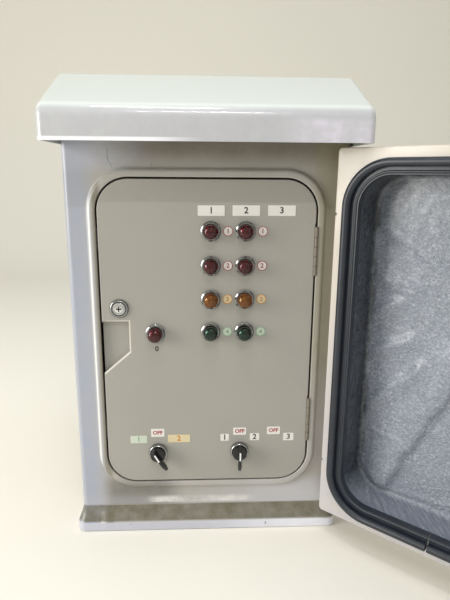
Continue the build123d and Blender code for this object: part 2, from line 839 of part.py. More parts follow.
with BuildPart() as inner_door:
    with BuildSketch(panel):
        RectangleRounded(inner_width, inner_height, inner_corner)
    extrude(amount=-inner_depth)
    fillet(inner_door.faces().sort_by(Axis.Y)[0].edges(), radius=1.2)
    with BuildSketch(panel.offset(-inner_skin)):
        RectangleRounded(
            inner_width - 2 * inner_skin, inner_height - 2 * inner_skin, inner_corner - inner_skin
        )
        Polygon(*pocket_outline(inner_skin), align=None, mode=Mode.SUBTRACT)
    extrude(amount=-inner_depth, mode=Mode.SUBTRACT)
    with BuildSketch(panel):
        Polygon(*pocket_outline(0), align=None)
    extrude(amount=-pocket_depth, mode=Mode.SUBTRACT)

    # Notches for the hinges' knuckles
    for side in (1, -1):
        with BuildSketch(panel):
            with Locations((inner_width / 2, side * inner_hinge_spread + notch_extra / 2)):
                Rectangle(
                    2 * (knuckle_radius + knuckle_clearance) - inner_gap,
                    inner_hinge_length + notch_extra,
                )
        extrude(amount=-(knuckle_radius + knuckle_clearance), mode=Mode.SUBTRACT)

    # Holes for the lamps, the switches and the lock
    with BuildSketch(panel):
        with Locations(*lamp_places, *selector_places):
            Circle(fitting_hole)
        with Locations((lock_x, lock_z)):
            Circle(lock_barrel + part_gap)
    extrude(amount=-inner_skin, mode=Mode.SUBTRACT)
save(inner_door, "inner_door")

# Inner hinges: folded leaves on the panel and on the body, with alternate knuckles
knuckle_length = (inner_hinge_length - (knuckle_count - 1) * knuckle_gap) / knuckle_count
knuckle_step = knuckle_length + knuckle_gap
leaf_start = knuckle_radius + knuckle_clearance
hinge_lows = [
    inner_centre_z + side * inner_hinge_spread - inner_hinge_length / 2 for side in (1, -1)
]

with BuildPart() as inner_hinge_body_leaves:
    for low in hinge_lows:
        with BuildSketch(Plane(origin=(inner_hinge_x, inner_front_y, low))):
            with Locations((leaf_gap / 2, leaf_start)):
                Rectangle(
                    leaf_thickness,
                    lip_height + wall + leaf_thickness - leaf_start,
                    align=(Align.MIN, Align.MIN),
                )
            with Locations((leaf_gap / 2, lip_height + wall)):
                Rectangle(lip_width + leaf_foot, leaf_thickness, align=(Align.MIN, Align.MIN))
        extrude(amount=inner_hinge_length)
        for index in range(0, knuckle_count, 2):
            with BuildSketch(
                Plane(origin=(inner_hinge_x, inner_front_y, low + index * knuckle_step))
            ):
                Circle(knuckle_radius)
                with Locations((leaf_gap / 2, 0)):
                    Rectangle(leaf_thickness, leaf_start + 1, align=(Align.MIN, Align.MIN))
                Circle(inner_pin_radius + pin_fit, mode=Mode.SUBTRACT)
            extrude(amount=knuckle_length)
save(inner_hinge_body_leaves, "inner_hinge_body_leaves")

with BuildPart() as inner_hinge_door_leaves:
    for low in hinge_lows:
        with BuildSketch(Plane(origin=(inner_hinge_x, inner_front_y, low))):
            with Locations((-leaf_gap / 2, leaf_start)):
                Rectangle(
                    leaf_thickness, inner_depth - leaf_start, align=(Align.MAX, Align.MIN)
                )
        extrude(amount=inner_hinge_length)
        for index in range(1, knuckle_count, 2):
            with BuildSketch(
                Plane(origin=(inner_hinge_x, inner_front_y, low + index * knuckle_step))
            ):
                Circle(knuckle_radius)
                with Locations((-leaf_gap / 2, 0)):
                    Rectangle(leaf_thickness, leaf_start + 1, align=(Align.MAX, Align.MIN))
                Circle(inner_pin_radius, mode=Mode.SUBTRACT)
            extrude(amount=knuckle_length)
save(inner_hinge_door_leaves, "inner_hinge_door_leaves")

with BuildPart() as inner_hinge_pins:
    for low in hinge_lows:
        with BuildSketch(Plane(origin=(inner_hinge_x, inner_front_y, low))):
            Circle(inner_pin_radius)
        extrude(amount=inner_hinge_length)
        with BuildSketch(Plane(origin=(inner_hinge_x, inner_front_y, low + inner_hinge_length))):
            Circle(inner_pin_radius + 0.8)
        extrude(amount=0.8)
save(inner_hinge_pins, "inner_hinge_pins")

# Stops that the closed inner door lies against, on the back of the front wall
with BuildPart() as inner_door_stops:
    with BuildSketch(front.offset(-wall)):
        for side in (1, -1):
            level = side * (inner_height / 2 - stop_from_end)
            with Locations((stop_overlap - inner_width / 2, level)):
                Rectangle(
                    stop_overlap + inner_gap + lip_width + stop_foot,
                    stop_height,
                    align=(Align.MAX, Align.CENTER),
                )
    extrude(amount=-stop_sheet)
save(inner_door_stops, "inner_door_stops")

# Lock of the inner door
with BuildPart() as inner_lock_barrel:
    with BuildSketch(panel):
        with Locations((lock_x, lock_z)):
            Circle(lock_ring_radius)
    extrude(amount=lock_ring_height)
    fillet(inner_lock_barrel.faces().sort_by(Axis.Y)[0].edges(), radius=2)
    with BuildSketch(panel):
        with Locations((lock_x, lock_z)):
            Circle(lock_barrel)
    extrude(amount=-inner_barrel_length)
    with BuildSketch(panel.offset(lock_ring_height)):
        with Locations((lock_x, lock_z)):
            Circle(lock_plug + lock_fit)
    extrude(amount=-(lock_ring_height + inner_barrel_length - lock_end_wall), mode=Mode.SUBTRACT)
    with BuildSketch(panel):
        with Locations((lock_x, lock_z)):
            Circle(lock_shaft + lock_fit)
    extrude(amount=-inner_barrel_length, mode=Mode.SUBTRACT)
save(inner_lock_barrel, "inner_lock_barrel")

with BuildPart() as inner_lock_nut:
    with BuildSketch(panel.offset(-inner_skin)):
        with Locations((lock_x, lock_z)):
            RegularPolygon(lock_nut_radius, 6)
            Circle(lock_barrel, mode=Mode.SUBTRACT)
    extrude(amount=-lock_nut_height)
save(inner_lock_nut, "inner_lock_nut")

with BuildPart() as inner_lock_plug:
    with BuildSketch(panel.offset(lock_ring_height - 0.5)):
        with Locations((lock_x, lock_z)):
            Circle(lock_plug)
    extrude(amount=-(lock_ring_height - 0.7 + inner_barrel_length - lock_end_wall))
    with BuildSketch(panel.offset(lock_ring_height - 0.5)):
        with Locations((lock_x, lock_z)):
            Rectangle(lock_key_length, lock_key_width)
            Rectangle(lock_key_width, lock_key_length)
    extrude(amount=-lock_key_depth, mode=Mode.SUBTRACT)
    with BuildSketch(panel):
        with Locations((lock_x, lock_z)):
            Circle(lock_shaft)
    extrude(amount=-inner_cam_depth)
    with BuildSketch(panel.offset(-inner_cam_depth)):
        with Locations((lock_x, lock_z)):
            Rectangle(cam_square, cam_square)
    extrude(amount=-cam_thickness)
    with BuildSketch(panel.offset(-inner_cam_depth - cam_thickness)):
        with Locations((lock_x, lock_z)):
            Circle(cam_screw_radius)
    extrude(amount=cam_screw_length, mode=Mode.SUBTRACT)
save(inner_lock_plug, "inner_lock_plug")

with BuildPart() as inner_lock_cam:
    with BuildSketch(panel.offset(-inner_cam_depth)):
        with Locations((lock_x, lock_z)):
            Circle(cam_hub)
            Rectangle(inner_cam_width, inner_cam_reach, align=(Align.CENTER, Align.MIN))
            Rectangle(cam_square, cam_square, mode=Mode.SUBTRACT)
    extrude(amount=-cam_thickness)
save(inner_lock_cam, "inner_lock_cam")

with BuildPart() as inner_lock_screw:
    with BuildSketch(panel.offset(-inner_cam_depth - cam_thickness)):
        with Locations((lock_x, lock_z)):
            Circle(cam_screw_head)
    extrude(amount=-cam_screw_height)
    with BuildSketch(panel.offset(-inner_cam_depth - cam_thickness)):
        with Locations((lock_x, lock_z)):
            Circle(cam_screw_radius)
    extrude(amount=cam_screw_length)
save(inner_lock_screw, "inner_lock_screw")

# Lamps: a body through the panel, a nut behind it, a bright bezel and a domed lens
with BuildPart() as lamp_bodies:
    with BuildSketch(panel):
        with Locations(*lamp_places):
            Circle(fitting_flange)
    extrude(amount=flange_height)
    with BuildSketch(panel):
        with Locations(*lamp_places):
            Circle(fitting_thread)
    extrude(amount=-thread_length)
    with BuildSketch(panel.offset(-thread_length)):
        with Locations(*lamp_places):
            Rectangle(contact_block, contact_block)
    extrude(amount=-contact_block)
save(lamp_bodies, "lamp_bodies")

with BuildPart() as lamp_bezels:
    with BuildSketch(panel.offset(flange_height)):
        with Locations(*lamp_places):
            Circle(bezel_radius)
    extrude(amount=bezel_height - flange_height)
    chamfer(lamp_bezels.faces().filter_by(Axis.Y).group_by(Axis.Y)[0].edges(), length=1.6)
    with BuildSketch(panel.offset(flange_height)):
        with Locations(*lamp_places):
            Circle(lens_radius + lock_fit)
    extrude(amount=bezel_height, mode=Mode.SUBTRACT)
save(lamp_bezels, "lamp_bezels")

for number, place in enumerate(lamp_places, 1):
    with BuildPart() as lamp_lens:
        with BuildSketch(panel.offset(flange_height)):
            with Locations(place):
                Circle(lens_radius)
        extrude(amount=lens_height - flange_height)
        fillet(lamp_lens.faces().sort_by(Axis.Y)[0].edges(), radius=lens_round)
    save(lamp_lens, f"lamp_lens_{number}")

with BuildPart() as fitting_nuts:
    with BuildSketch(panel.offset(-inner_skin)):
        with Locations(*lamp_places, *selector_places):
            RegularPolygon(fitting_nut, 6)
            Circle(fitting_thread, mode=Mode.SUBTRACT)
    extrude(amount=-fitting_nut_height)
save(fitting_nuts, "fitting_nuts")

# Selector switches: a body and a bezel like the lamps', and a lever that turns in them
with BuildPart() as selector_bodies:
    with BuildSketch(panel):
        with Locations(*selector_places):
            Circle(fitting_flange)
    extrude(amount=flange_height)
    with BuildSketch(panel):
        with Locations(*selector_places):
            Circle(fitting_thread)
    extrude(amount=-thread_length)
    with BuildSketch(panel.offset(-thread_length)):
        with Locations(*selector_places):
            Rectangle(selector_block, selector_block)
    extrude(amount=-selector_block_depth)
    with BuildSketch(panel.offset(flange_height)):
        with Locations(*selector_places):
            Circle(knob_shaft + lock_fit)
    extrude(amount=-thread_length, mode=Mode.SUBTRACT)
save(selector_bodies, "selector_bodies")

with BuildPart() as selector_bezels:
    with BuildSketch(panel.offset(flange_height)):
        with Locations(*selector_places):
            Circle(bezel_radius)
    extrude(amount=selector_bezel_height - flange_height)
    chamfer(selector_bezels.faces().filter_by(Axis.Y).group_by(Axis.Y)[0].edges(), length=1.6)
    with BuildSketch(panel.offset(flange_height)):
        with Locations(*selector_places):
            Circle(knob_radius + knob_clearance)
    extrude(amount=selector_bezel_height, mode=Mode.SUBTRACT)
save(selector_bezels, "selector_bezels")

for number, (place, turn) in enumerate(zip(selector_places, selector_turns), 1):
    hub = Plane(
        origin=panel.from_local_coords((*place, 0)),
        x_dir=(cos(radians(turn)), 0, sin(radians(turn))),
        z_dir=panel.z_dir,
    )
    lever_side = Plane(origin=hub.origin, x_dir=hub.y_dir, z_dir=hub.x_dir)
    with BuildPart() as selector_knob:
        with BuildSketch(hub.offset(flange_height + part_gap)):
            Circle(knob_radius)
        extrude(amount=knob_disc - flange_height - part_gap)
        # Side outline of the lever: height over the panel against distance along the lever
        with BuildSketch(lever_side):
            Polygon(
                (knob_tip, selector_bezel_height + knob_clearance),
                (knob_tip, knob_top - 4),
                (knob_tip - 4, knob_top),
                (-knob_tip, knob_top),
                (-knob_tail, knob_tail_height),
                (-knob_tail, selector_bezel_height + knob_clearance),
                align=None,
            )
        extrude(amount=knob_bar / 2, both=True)
        with BuildSketch(hub.offset(knob_disc)):
            Circle(knob_shaft)
        extrude(amount=-knob_disc - thread_length + 4)
    save(selector_knob, f"selector_knob_{number}")

# Mounting plate on four standoffs at the back wall, with two rails
with BuildPart() as plate_standoffs:
    with BuildSketch(Plane(origin=(0, plate_y, inner_centre_z), x_dir=(1, 0, 0), z_dir=(0, 1, 0))):
        with GridLocations(2 * plate_fixing_x, 2 * plate_fixing_z, 2, 2):
            Circle(standoff_radius)
            Circle(plate_screw, mode=Mode.SUBTRACT)
    extrude(amount=plate_standoff)
save(plate_standoffs, "plate_standoffs")

plate_front = Plane(
    origin=(0, plate_y - plate_thickness, inner_centre_z), x_dir=(1, 0, 0), z_dir=(0, -1, 0)
)
with BuildPart() as mounting_plate:
    with BuildSketch(plate_front):
        RectangleRounded(plate_width, plate_height, 6)
        with GridLocations(2 * plate_fixing_x, 2 * plate_fixing_z, 2, 2):
            Circle(plate_screw + screw_fit, mode=Mode.SUBTRACT)
    extrude(amount=-plate_thickness)
save(mounting_plate, "mounting_plate")

with BuildPart() as plate_screws:
    with BuildSketch(plate_front):
        with GridLocations(2 * plate_fixing_x, 2 * plate_fixing_z, 2, 2):
            Circle(2 * plate_screw)
    extrude(amount=plate_screw_head)
    with BuildSketch(plate_front):
        with GridLocations(2 * plate_fixing_x, 2 * plate_fixing_z, 2, 2):
            Circle(plate_screw)
    extrude(amount=plate_screw_head - plate_thickness - plate_standoff)
save(plate_screws, "plate_screws")

with BuildPart() as din_rails:
    for level in (lower_rail, middle_rail):
        with BuildSketch(
            Plane(
                origin=(-rail_length / 2, plate_y - plate_thickness, inner_centre_z + level),
                x_dir=(0, -1, 0),
                z_dir=(1, 0, 0),
            )
        ):
            # Top hat section: the web lies on the plate and two flanges stand out
            Rectangle(
                rail_sheet, rail_width - 2 * rail_flange, align=(Align.MIN, Align.CENTER)
            )
            for edge in (1, -1):
                with Locations((0, edge * (rail_width / 2 - rail_flange - rail_sheet / 2))):
                    Rectangle(rail_depth, rail_sheet, align=(Align.MIN, Align.CENTER))
                with Locations((rail_depth - rail_sheet, edge * (rail_width - rail_flange) / 2)):
                    Rectangle(
                        rail_sheet, rail_flange + rail_sheet, align=(Align.MIN, Align.CENTER)
                    )
        extrude(amount=rail_length)
save(din_rails, "din_rails")

# Units on the rails, each with a foot that takes the rail's flanges
unit_back = Plane(
    origin=(0, plate_y - plate_thickness - rail_depth - rail_seat, inner_centre_z),
    x_dir=(1, 0, 0),
    z_dir=(0, -1, 0),
)
with BuildPart() as controller_unit:
    width, height, depth = controller_width, controller_height, controller_depth
    with BuildSketch(unit_back):
        with Locations((controller_x, middle_rail)):
            RectangleRounded(width, height, 4)
    extrude(amount=depth)
    fillet(controller_unit.faces().sort_by(Axis.Y)[0].edges(), radius=2)
    with BuildSketch(unit_back.offset(depth)):
        with Locations((controller_x, middle_rail)):
            with GridLocations(0, height - 2 * socket_row_from_edge, 1, 2):
                Rectangle(width - display_side, socket_row_height)
    extrude(amount=-socket_row_depth, mode=Mode.SUBTRACT)
    with BuildSketch(unit_back.offset(depth)):
        with Locations((controller_x, middle_rail)):
            RectangleRounded(width - 2 * display_side, display_height, vent_depth)
    extrude(amount=-display_depth, mode=Mode.SUBTRACT)
save(controller_unit, "controller_unit")

with BuildPart() as power_supply:
    width, height, depth = supply_size
    with BuildSketch(unit_back):
        with Locations((supply_x, middle_rail)):
            RectangleRounded(width, height, 2)
    extrude(amount=depth)
    with BuildSketch(unit_back.offset(depth)):
        with Locations((supply_x, middle_rail)):
            with GridLocations(0, vent_pitch, 1, 7):
                SlotOverall(width - 2 * vent_side, vent_pitch / 2)
    extrude(amount=-vent_depth, mode=Mode.SUBTRACT)
    with BuildSketch(unit_back.offset(depth)):
        with Locations((supply_x, middle_rail)):
            with GridLocations(0, height - 2 * supply_terminals, 1, 2):
                Rectangle(width - 1.5 * supply_terminals, supply_terminals)
    extrude(amount=-supply_terminal_depth, mode=Mode.SUBTRACT)
save(power_supply, "power_supply")

# Breaker: a stepped body with a recess in its nose, where the lever turns on an axle
breaker_width, breaker_height, breaker_depth = breaker_size
lever_axis_depth = breaker_depth - 7
with BuildPart() as circuit_breaker:
    with BuildSketch(unit_back):
        with Locations((breaker_x, middle_rail)):
            Rectangle(breaker_width, breaker_height)
    extrude(amount=breaker_depth - breaker_nose)
    with BuildSketch(unit_back.offset(breaker_depth - breaker_nose)):
        with Locations((breaker_x, middle_rail)):
            Rectangle(breaker_width, breaker_height / 2)
    extrude(amount=breaker_nose)
    with BuildSketch(unit_back.offset(breaker_depth)):
        with Locations((breaker_x, middle_rail)):
            Rectangle(lever_width + 2 * part_gap, breaker_height / 2 - 8)
    extrude(amount=-lever_well, mode=Mode.SUBTRACT)
    with BuildSketch(Plane.YZ.offset(breaker_x - breaker_width / 2 + 4)):
        with Locations((unit_back.origin.Y - lever_axis_depth, inner_centre_z + middle_rail)):
            Circle(lever_axle / 2 + lock_fit)
    extrude(amount=breaker_width - 8, mode=Mode.SUBTRACT)
save(circuit_breaker, "circuit_breaker")

with BuildPart() as breaker_lever:
    side_plane = Plane(
        origin=(
            breaker_x,
            unit_back.origin.Y - lever_axis_depth,
            inner_centre_z + middle_rail,
        ),
        x_dir=(0, 0, 1),
        z_dir=(1, 0, 0),
    )
    lean = radians(lever_turn)
    turned_plane = Plane(
        origin=side_plane.origin, x_dir=(0, -sin(lean), cos(lean)), z_dir=(1, 0, 0)
    )
    with BuildSketch(side_plane):
        Circle(6)
    extrude(amount=lever_width / 2, both=True)
    with BuildSketch(turned_plane):
        with Locations((0, 0)):
            Rectangle(5, lever_length, align=(Align.CENTER, Align.MIN))
    extrude(amount=lever_width / 2, both=True)
    with BuildSketch(side_plane):
        Circle(lever_axle / 2)
    extrude(amount=breaker_width / 2 - 4.5, both=True)
save(breaker_lever, "breaker_lever")

with BuildPart() as relay_row:
    width, height, depth = relay_size
    for index in range(relay_count):
        place = (relay_first_x + index * relay_pitch, lower_rail)
        with BuildSketch(unit_back):
            with Locations(place):
                Rectangle(width, height)
        extrude(amount=depth / 2)
        with BuildSketch(unit_back.offset(depth / 2)):
            with Locations(place):
                RectangleRounded(width - 3, height / 2, 2)
        extrude(amount=depth / 2)
save(relay_row, "relay_row")

with BuildPart() as terminal_blocks:
    width, height, depth = terminal_size
    for index in range(terminal_count):
        x = terminal_first_x + index * terminal_pitch
        with BuildSketch(Plane.YZ.offset(x)):
            with Locations((unit_back.origin.Y, inner_centre_z + lower_rail)):
                Polygon(
                    (0, -height / 2),
                    (-depth / 2, -height / 2),
                    (-depth, -height / 5),
                    (-depth, height / 5),
                    (-depth / 2, height / 2),
                    (0, height / 2),
                    align=None,
                )
        extrude(amount=width)
save(terminal_blocks, "terminal_blocks")

with BuildPart() as earth_bar:
    with BuildSketch(plate_front):
        with Locations((0, earth_bar_z)):
            with GridLocations(earth_bar_length - earth_bar_foot, 0, 2, 1):
                Rectangle(earth_bar_width, earth_bar_width)
    extrude(amount=earth_bar_height)
    with BuildSketch(plate_front.offset(earth_bar_height)):
        with Locations((0, earth_bar_z)):
            Rectangle(earth_bar_length, earth_bar_width)
    extrude(amount=earth_bar_thickness)
    with BuildSketch(plate_front.offset(earth_bar_height + earth_bar_thickness)):
        with Locations((0, earth_bar_z)):
            with GridLocations((earth_bar_length - earth_bar_width) / 8, 0, 9, 1):
                Circle(earth_screw)
    extrude(amount=earth_bar_thickness / 2)
save(earth_bar, "earth_bar")

# Cable entry in the floor: a plate with a row of glands, nothing below the foot
with BuildPart() as gland_plate:
    with BuildSketch(Plane.XY.offset(floor_thickness)):
        RectangleRounded(
            gland_opening_width + 2 * gland_plate_margin,
            gland_opening_depth + 2 * gland_plate_margin,
            6,
        )
        with GridLocations(gland_pitch, 0, gland_count, 1):
            Circle(gland_thread + screw_fit, mode=Mode.SUBTRACT)
    extrude(amount=gland_plate_thickness)
save(gland_plate, "gland_plate")

with BuildPart() as gland_plate_screws:
    with BuildSketch(Plane.XY.offset(floor_thickness + gland_plate_thickness)):
        with GridLocations(
            gland_opening_width + gland_plate_margin,
            gland_opening_depth + gland_plate_margin,
            2,
            2,
        ):
            Circle(2 * gland_screw)
    extrude(amount=2.5)
save(gland_plate_screws, "gland_plate_screws")

with BuildPart() as cable_glands:
    with BuildSketch(Plane.XY.offset(floor_thickness + gland_plate_thickness)):
        with GridLocations(gland_pitch, 0, gland_count, 1):
            RegularPolygon(gland_radius, 6)
    extrude(amount=gland_hex_height)
    with BuildSketch(Plane.XY.offset(floor_thickness + gland_plate_thickness + gland_hex_height)):
        with GridLocations(gland_pitch, 0, gland_count, 1):
            Circle(gland_radius * 0.9)
    extrude(amount=gland_dome_height)
    fillet(cable_glands.edges().group_by(Axis.Z)[-1], radius=2)
    with BuildSketch(Plane.XY.offset(floor_thickness + gland_plate_thickness)):
        with GridLocations(gland_pitch, 0, gland_count, 1):
            Circle(gland_thread)
    extrude(amount=-gland_plate_thickness - gland_nut_height)
    with BuildSketch(Plane.XY.offset(floor_thickness)):
        with GridLocations(gland_pitch, 0, gland_count, 1):
            RegularPolygon(gland_nut_radius, 6)
    extrude(amount=-gland_nut_height)
    with BuildSketch(Plane.XY):
        with GridLocations(gland_pitch, 0, gland_count, 1):
            Circle(gland_bore)
    extrude(amount=floor_thickness + gland_plate_thickness + 40, mode=Mode.SUBTRACT)
save(cable_glands, "cable_glands")
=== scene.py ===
# %% [markdown]
# # A traffic signal controller cabinet, dressed in Blender
# The real object is a small roadside cabinet of glass-fibre plastic. Behind its outer door sits
# a painted steel panel with lamps and two rotary switches. The solids come from a CAD model and
# already hold every size, so this lesson only adds what the eye looks for: soft moulded edges,
# gloss and scuffs, lenses with depth, lettering, and the raw fibre inside the door.

# %% The frame
import json
import math
import random

import bmesh
import bpy
from mathutils import Matrix, Vector, noise

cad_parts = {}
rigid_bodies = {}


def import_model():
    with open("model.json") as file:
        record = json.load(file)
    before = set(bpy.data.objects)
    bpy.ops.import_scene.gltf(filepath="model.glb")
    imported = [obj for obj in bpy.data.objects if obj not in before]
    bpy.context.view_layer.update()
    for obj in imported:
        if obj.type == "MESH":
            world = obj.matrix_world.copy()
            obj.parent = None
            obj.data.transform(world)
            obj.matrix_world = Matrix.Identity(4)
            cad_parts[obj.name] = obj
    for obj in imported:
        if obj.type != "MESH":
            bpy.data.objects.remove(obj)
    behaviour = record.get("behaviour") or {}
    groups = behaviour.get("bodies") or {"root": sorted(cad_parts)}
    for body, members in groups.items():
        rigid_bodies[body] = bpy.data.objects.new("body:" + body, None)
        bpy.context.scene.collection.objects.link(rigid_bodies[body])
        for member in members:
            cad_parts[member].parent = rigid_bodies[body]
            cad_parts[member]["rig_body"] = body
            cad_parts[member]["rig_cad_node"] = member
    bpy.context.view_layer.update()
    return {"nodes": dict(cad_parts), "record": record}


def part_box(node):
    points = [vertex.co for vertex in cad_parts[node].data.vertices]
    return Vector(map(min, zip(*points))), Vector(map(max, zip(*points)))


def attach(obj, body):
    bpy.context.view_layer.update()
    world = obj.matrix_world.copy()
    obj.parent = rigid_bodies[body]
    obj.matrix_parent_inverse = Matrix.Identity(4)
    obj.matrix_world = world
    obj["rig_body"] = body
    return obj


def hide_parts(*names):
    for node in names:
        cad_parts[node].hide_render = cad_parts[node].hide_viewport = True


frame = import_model()
nodes = frame["nodes"]

# %% [markdown]
# ## Working by hand, in code
# Blender's operators act on whatever is selected. These few helpers do what a hand does before
# each tool: let go of everything, take one object, pick its edges by their place, and at the end
# set the piece down on the body that carries it, with its place in its mesh.

# %% Helpers for modelling
MM = 0.001


def take(obj):
    bpy.ops.object.select_all(action="DESELECT")
    obj.select_set(True)
    bpy.context.view_layer.objects.active = obj


def begin(name, add, location=(0, 0, 0), **settings):
    """Adds a primitive and opens it in edge mode, with all of it selected."""
    bpy.ops.object.select_all(action="DESELECT")
    add(location=location, **settings)
    obj = bpy.context.object
    obj.name = name
    bpy.ops.object.mode_set(mode="EDIT")
    bpy.ops.mesh.select_mode(type="EDGE")
    bpy.ops.mesh.select_all(action="SELECT")
    return obj


def open_mesh(obj, kind="FACE"):
    """Opens a finished mesh with nothing selected."""
    take(obj)
    bpy.ops.object.mode_set(mode="EDIT")
    bpy.ops.mesh.select_mode(type=kind)
    bpy.ops.mesh.select_all(action="DESELECT")


def close_mesh():
    bpy.ops.object.mode_set(mode="OBJECT")


def choose(kind, test):
    """Selects the open mesh's faces, edges or verts that pass the test, and counts them."""
    mesh = bmesh.from_edit_mesh(bpy.context.object.data)
    mesh.select_mode = {kind[:-1].upper()}
    chosen = 0
    for part in getattr(mesh, kind):
        part.select_set(bool(test(part)))
        chosen += part.select
    mesh.select_flush_mode()
    bmesh.update_edit_mesh(bpy.context.object.data)
    return chosen


def copy_of(obj, name):
    """A copy with its own mesh."""
    twin = obj.copy()
    twin.data = obj.data.copy()
    twin.name = name
    bpy.context.scene.collection.objects.link(twin)
    return twin


def join_all(parts, name):
    bpy.ops.object.select_all(action="DESELECT")
    for part in parts:
        part.select_set(True)
    bpy.context.view_layer.objects.active = parts[0]
    bpy.ops.object.join()
    parts[0].name = name
    return parts[0]


def apply_all(obj):
    take(obj)
    for modifier in list(obj.modifiers):
        bpy.ops.object.modifier_apply(modifier=modifier.name)


def settle(obj, body, material, place=None, stands_for=(), smooth=30):
    """Sets a finished piece down: place in the mesh, smooth shading, finish and body."""
    obj.matrix_world = (place or Matrix()) @ obj.matrix_world
    take(obj)
    bpy.ops.object.transform_apply(location=True, rotation=True, scale=True)
    bpy.ops.object.shade_smooth_by_angle(angle=math.radians(smooth))
    obj.data.materials.clear()
    obj.data.materials.append(material)
    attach(obj, body)
    if stands_for:
        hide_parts(*stands_for)
    return obj


# %% [markdown]
# ## Where things are
# The CAD model's sizes are repeated here once, in millimetres. A panel place turns a piece made
# upright at the origin so that it stands out of the inner door. A door place does the same for
# the outer door, which stands open at an angle.

# %% Places on the panel and on the open door
PANEL_Y, PANEL_Z = -133.0, 324.0  # the panel's front face and its middle height
PIVOT = Vector((193.0, -149.5, 0.0))
DOOR_TURN = math.radians(-42)  # where the open door points, seen from above
ALONG = Vector((math.cos(DOOR_TURN), math.sin(DOOR_TURN), 0.0))
INWARD = Vector((ALONG.y, -ALONG.x, 0.0))
LAMP_COLUMNS = (4.5, 54.5)
LAMP_ROWS = (162.5, 112.5, 62.5, 12.5)
LAMP_PLACES = [(x, z) for x in LAMP_COLUMNS for z in LAMP_ROWS] + [(-78.0, 10.5)]
KNOB_PLACES = [(-78.0, -184.5, 30.0), (50.0, -184.0, 0.0)]  # x, z and turn in degrees
LOCK_PLACE = (-130.0, 49.0)


def on_panel(x, z, out=0.0, turn=0.0):
    where = Vector((x, PANEL_Y - out, PANEL_Z + z)) * MM
    upright = Matrix.Rotation(math.radians(90), 4, "X")
    return Matrix.Translation(where) @ upright @ Matrix.Rotation(math.radians(turn), 4, "Z")


def on_door(s, z, v):
    where = (PIVOT + ALONG * s + INWARD * v + Vector((0, 0, z))) * MM
    turned_axes = Matrix((ALONG, (0, 0, 1), INWARD)).transposed().to_4x4()
    return Matrix.Translation(where) @ turned_axes


print("door inward:", [round(c, 3) for c in INWARD])

# %% [markdown]
# ## Materials: one node at a time
# Paints and plastics here are all node trees. One function adds a node with its settings and
# links, and the shorter ones call it for the nodes that come back in every material. Colours are
# written as the hex values a paint chart gives and turned to linear light.

# %% Helpers for materials
def linear(text):
    """An sRGB hex colour as linear red, green, blue and alpha."""
    channels = []
    for start in (0, 2, 4):
        v = int(text[start : start + 2], 16) / 255
        channels.append(v / 12.92 if v <= 0.04045 else ((v + 0.055) / 1.055) ** 2.4)
    return (*channels, 1.0)


def put(tree, kind, links=None, stops=None, **settings):
    """Adds a node, gives it its settings, and links or sets its sockets."""
    node = tree.nodes.new(kind)
    for name, value in settings.items():
        setattr(node, name, value)
    for name, value in (links or {}).items():
        if isinstance(value, bpy.types.NodeSocket):
            tree.links.new(value, node.inputs[name])
        else:
            node.inputs[name].default_value = value
    if stops:
        ramp = node.color_ramp
        while len(ramp.elements) < len(stops):
            ramp.elements.new(0.5)
        for element, (position, colour) in zip(ramp.elements, stops):
            element.position = position
            element.color = colour if isinstance(colour, tuple) else (colour, colour, colour, 1.0)
    return node


def new_material(name, **sockets):
    """A material with its Principled shader, whose constant sockets are set by name."""
    material = bpy.data.materials.new(name)
    material.use_nodes = True
    tree = material.node_tree
    shader = tree.nodes["Principled BSDF"]
    for socket, value in sockets.items():
        shader.inputs[socket.replace("_", " ")].default_value = value
    return material, tree, shader


def connect(tree, shader, **outputs):
    """Links outputs to the shader's sockets, by name."""
    for socket, output in outputs.items():
        tree.links.new(output, shader.inputs[socket.replace("_", " ")])


def object_place(tree):
    return put(tree, "ShaderNodeTexCoord").outputs["Object"]


def noise_of(tree, at, size, detail, **more):
    """A noise from 0 to 1 whose lumps are about this size, in metres."""
    links = {"Vector": at, "Scale": 1 / size, "Detail": detail, **more}
    return put(tree, "ShaderNodeTexNoise", links).outputs["Fac"]


def ramped(tree, value, *stops):
    return put(tree, "ShaderNodeValToRGB", {"Fac": value}, stops=stops).outputs["Color"]


def spread(tree, value, low, high):
    """A value from 0 to 1, turned into one from low to high."""
    links = {"Value": value, "To Min": low, "To Max": high}
    return put(tree, "ShaderNodeMapRange", links).outputs["Result"]


def blend(tree, factor, first, second):
    links = {"Factor": factor, 6: first, 7: second}
    return put(tree, "ShaderNodeMix", links, data_type="RGBA").outputs[2]


def reckon(tree, operation, first, second):
    return put(tree, "ShaderNodeMath", {0: first, 1: second}, operation=operation).outputs[0]


def relief(tree, height, strength, distance, **more):
    """A bump of so many metres, as a normal."""
    links = {"Height": height, "Strength": strength, "Distance": distance, **more}
    return put(tree, "ShaderNodeBump", links).outputs["Normal"]
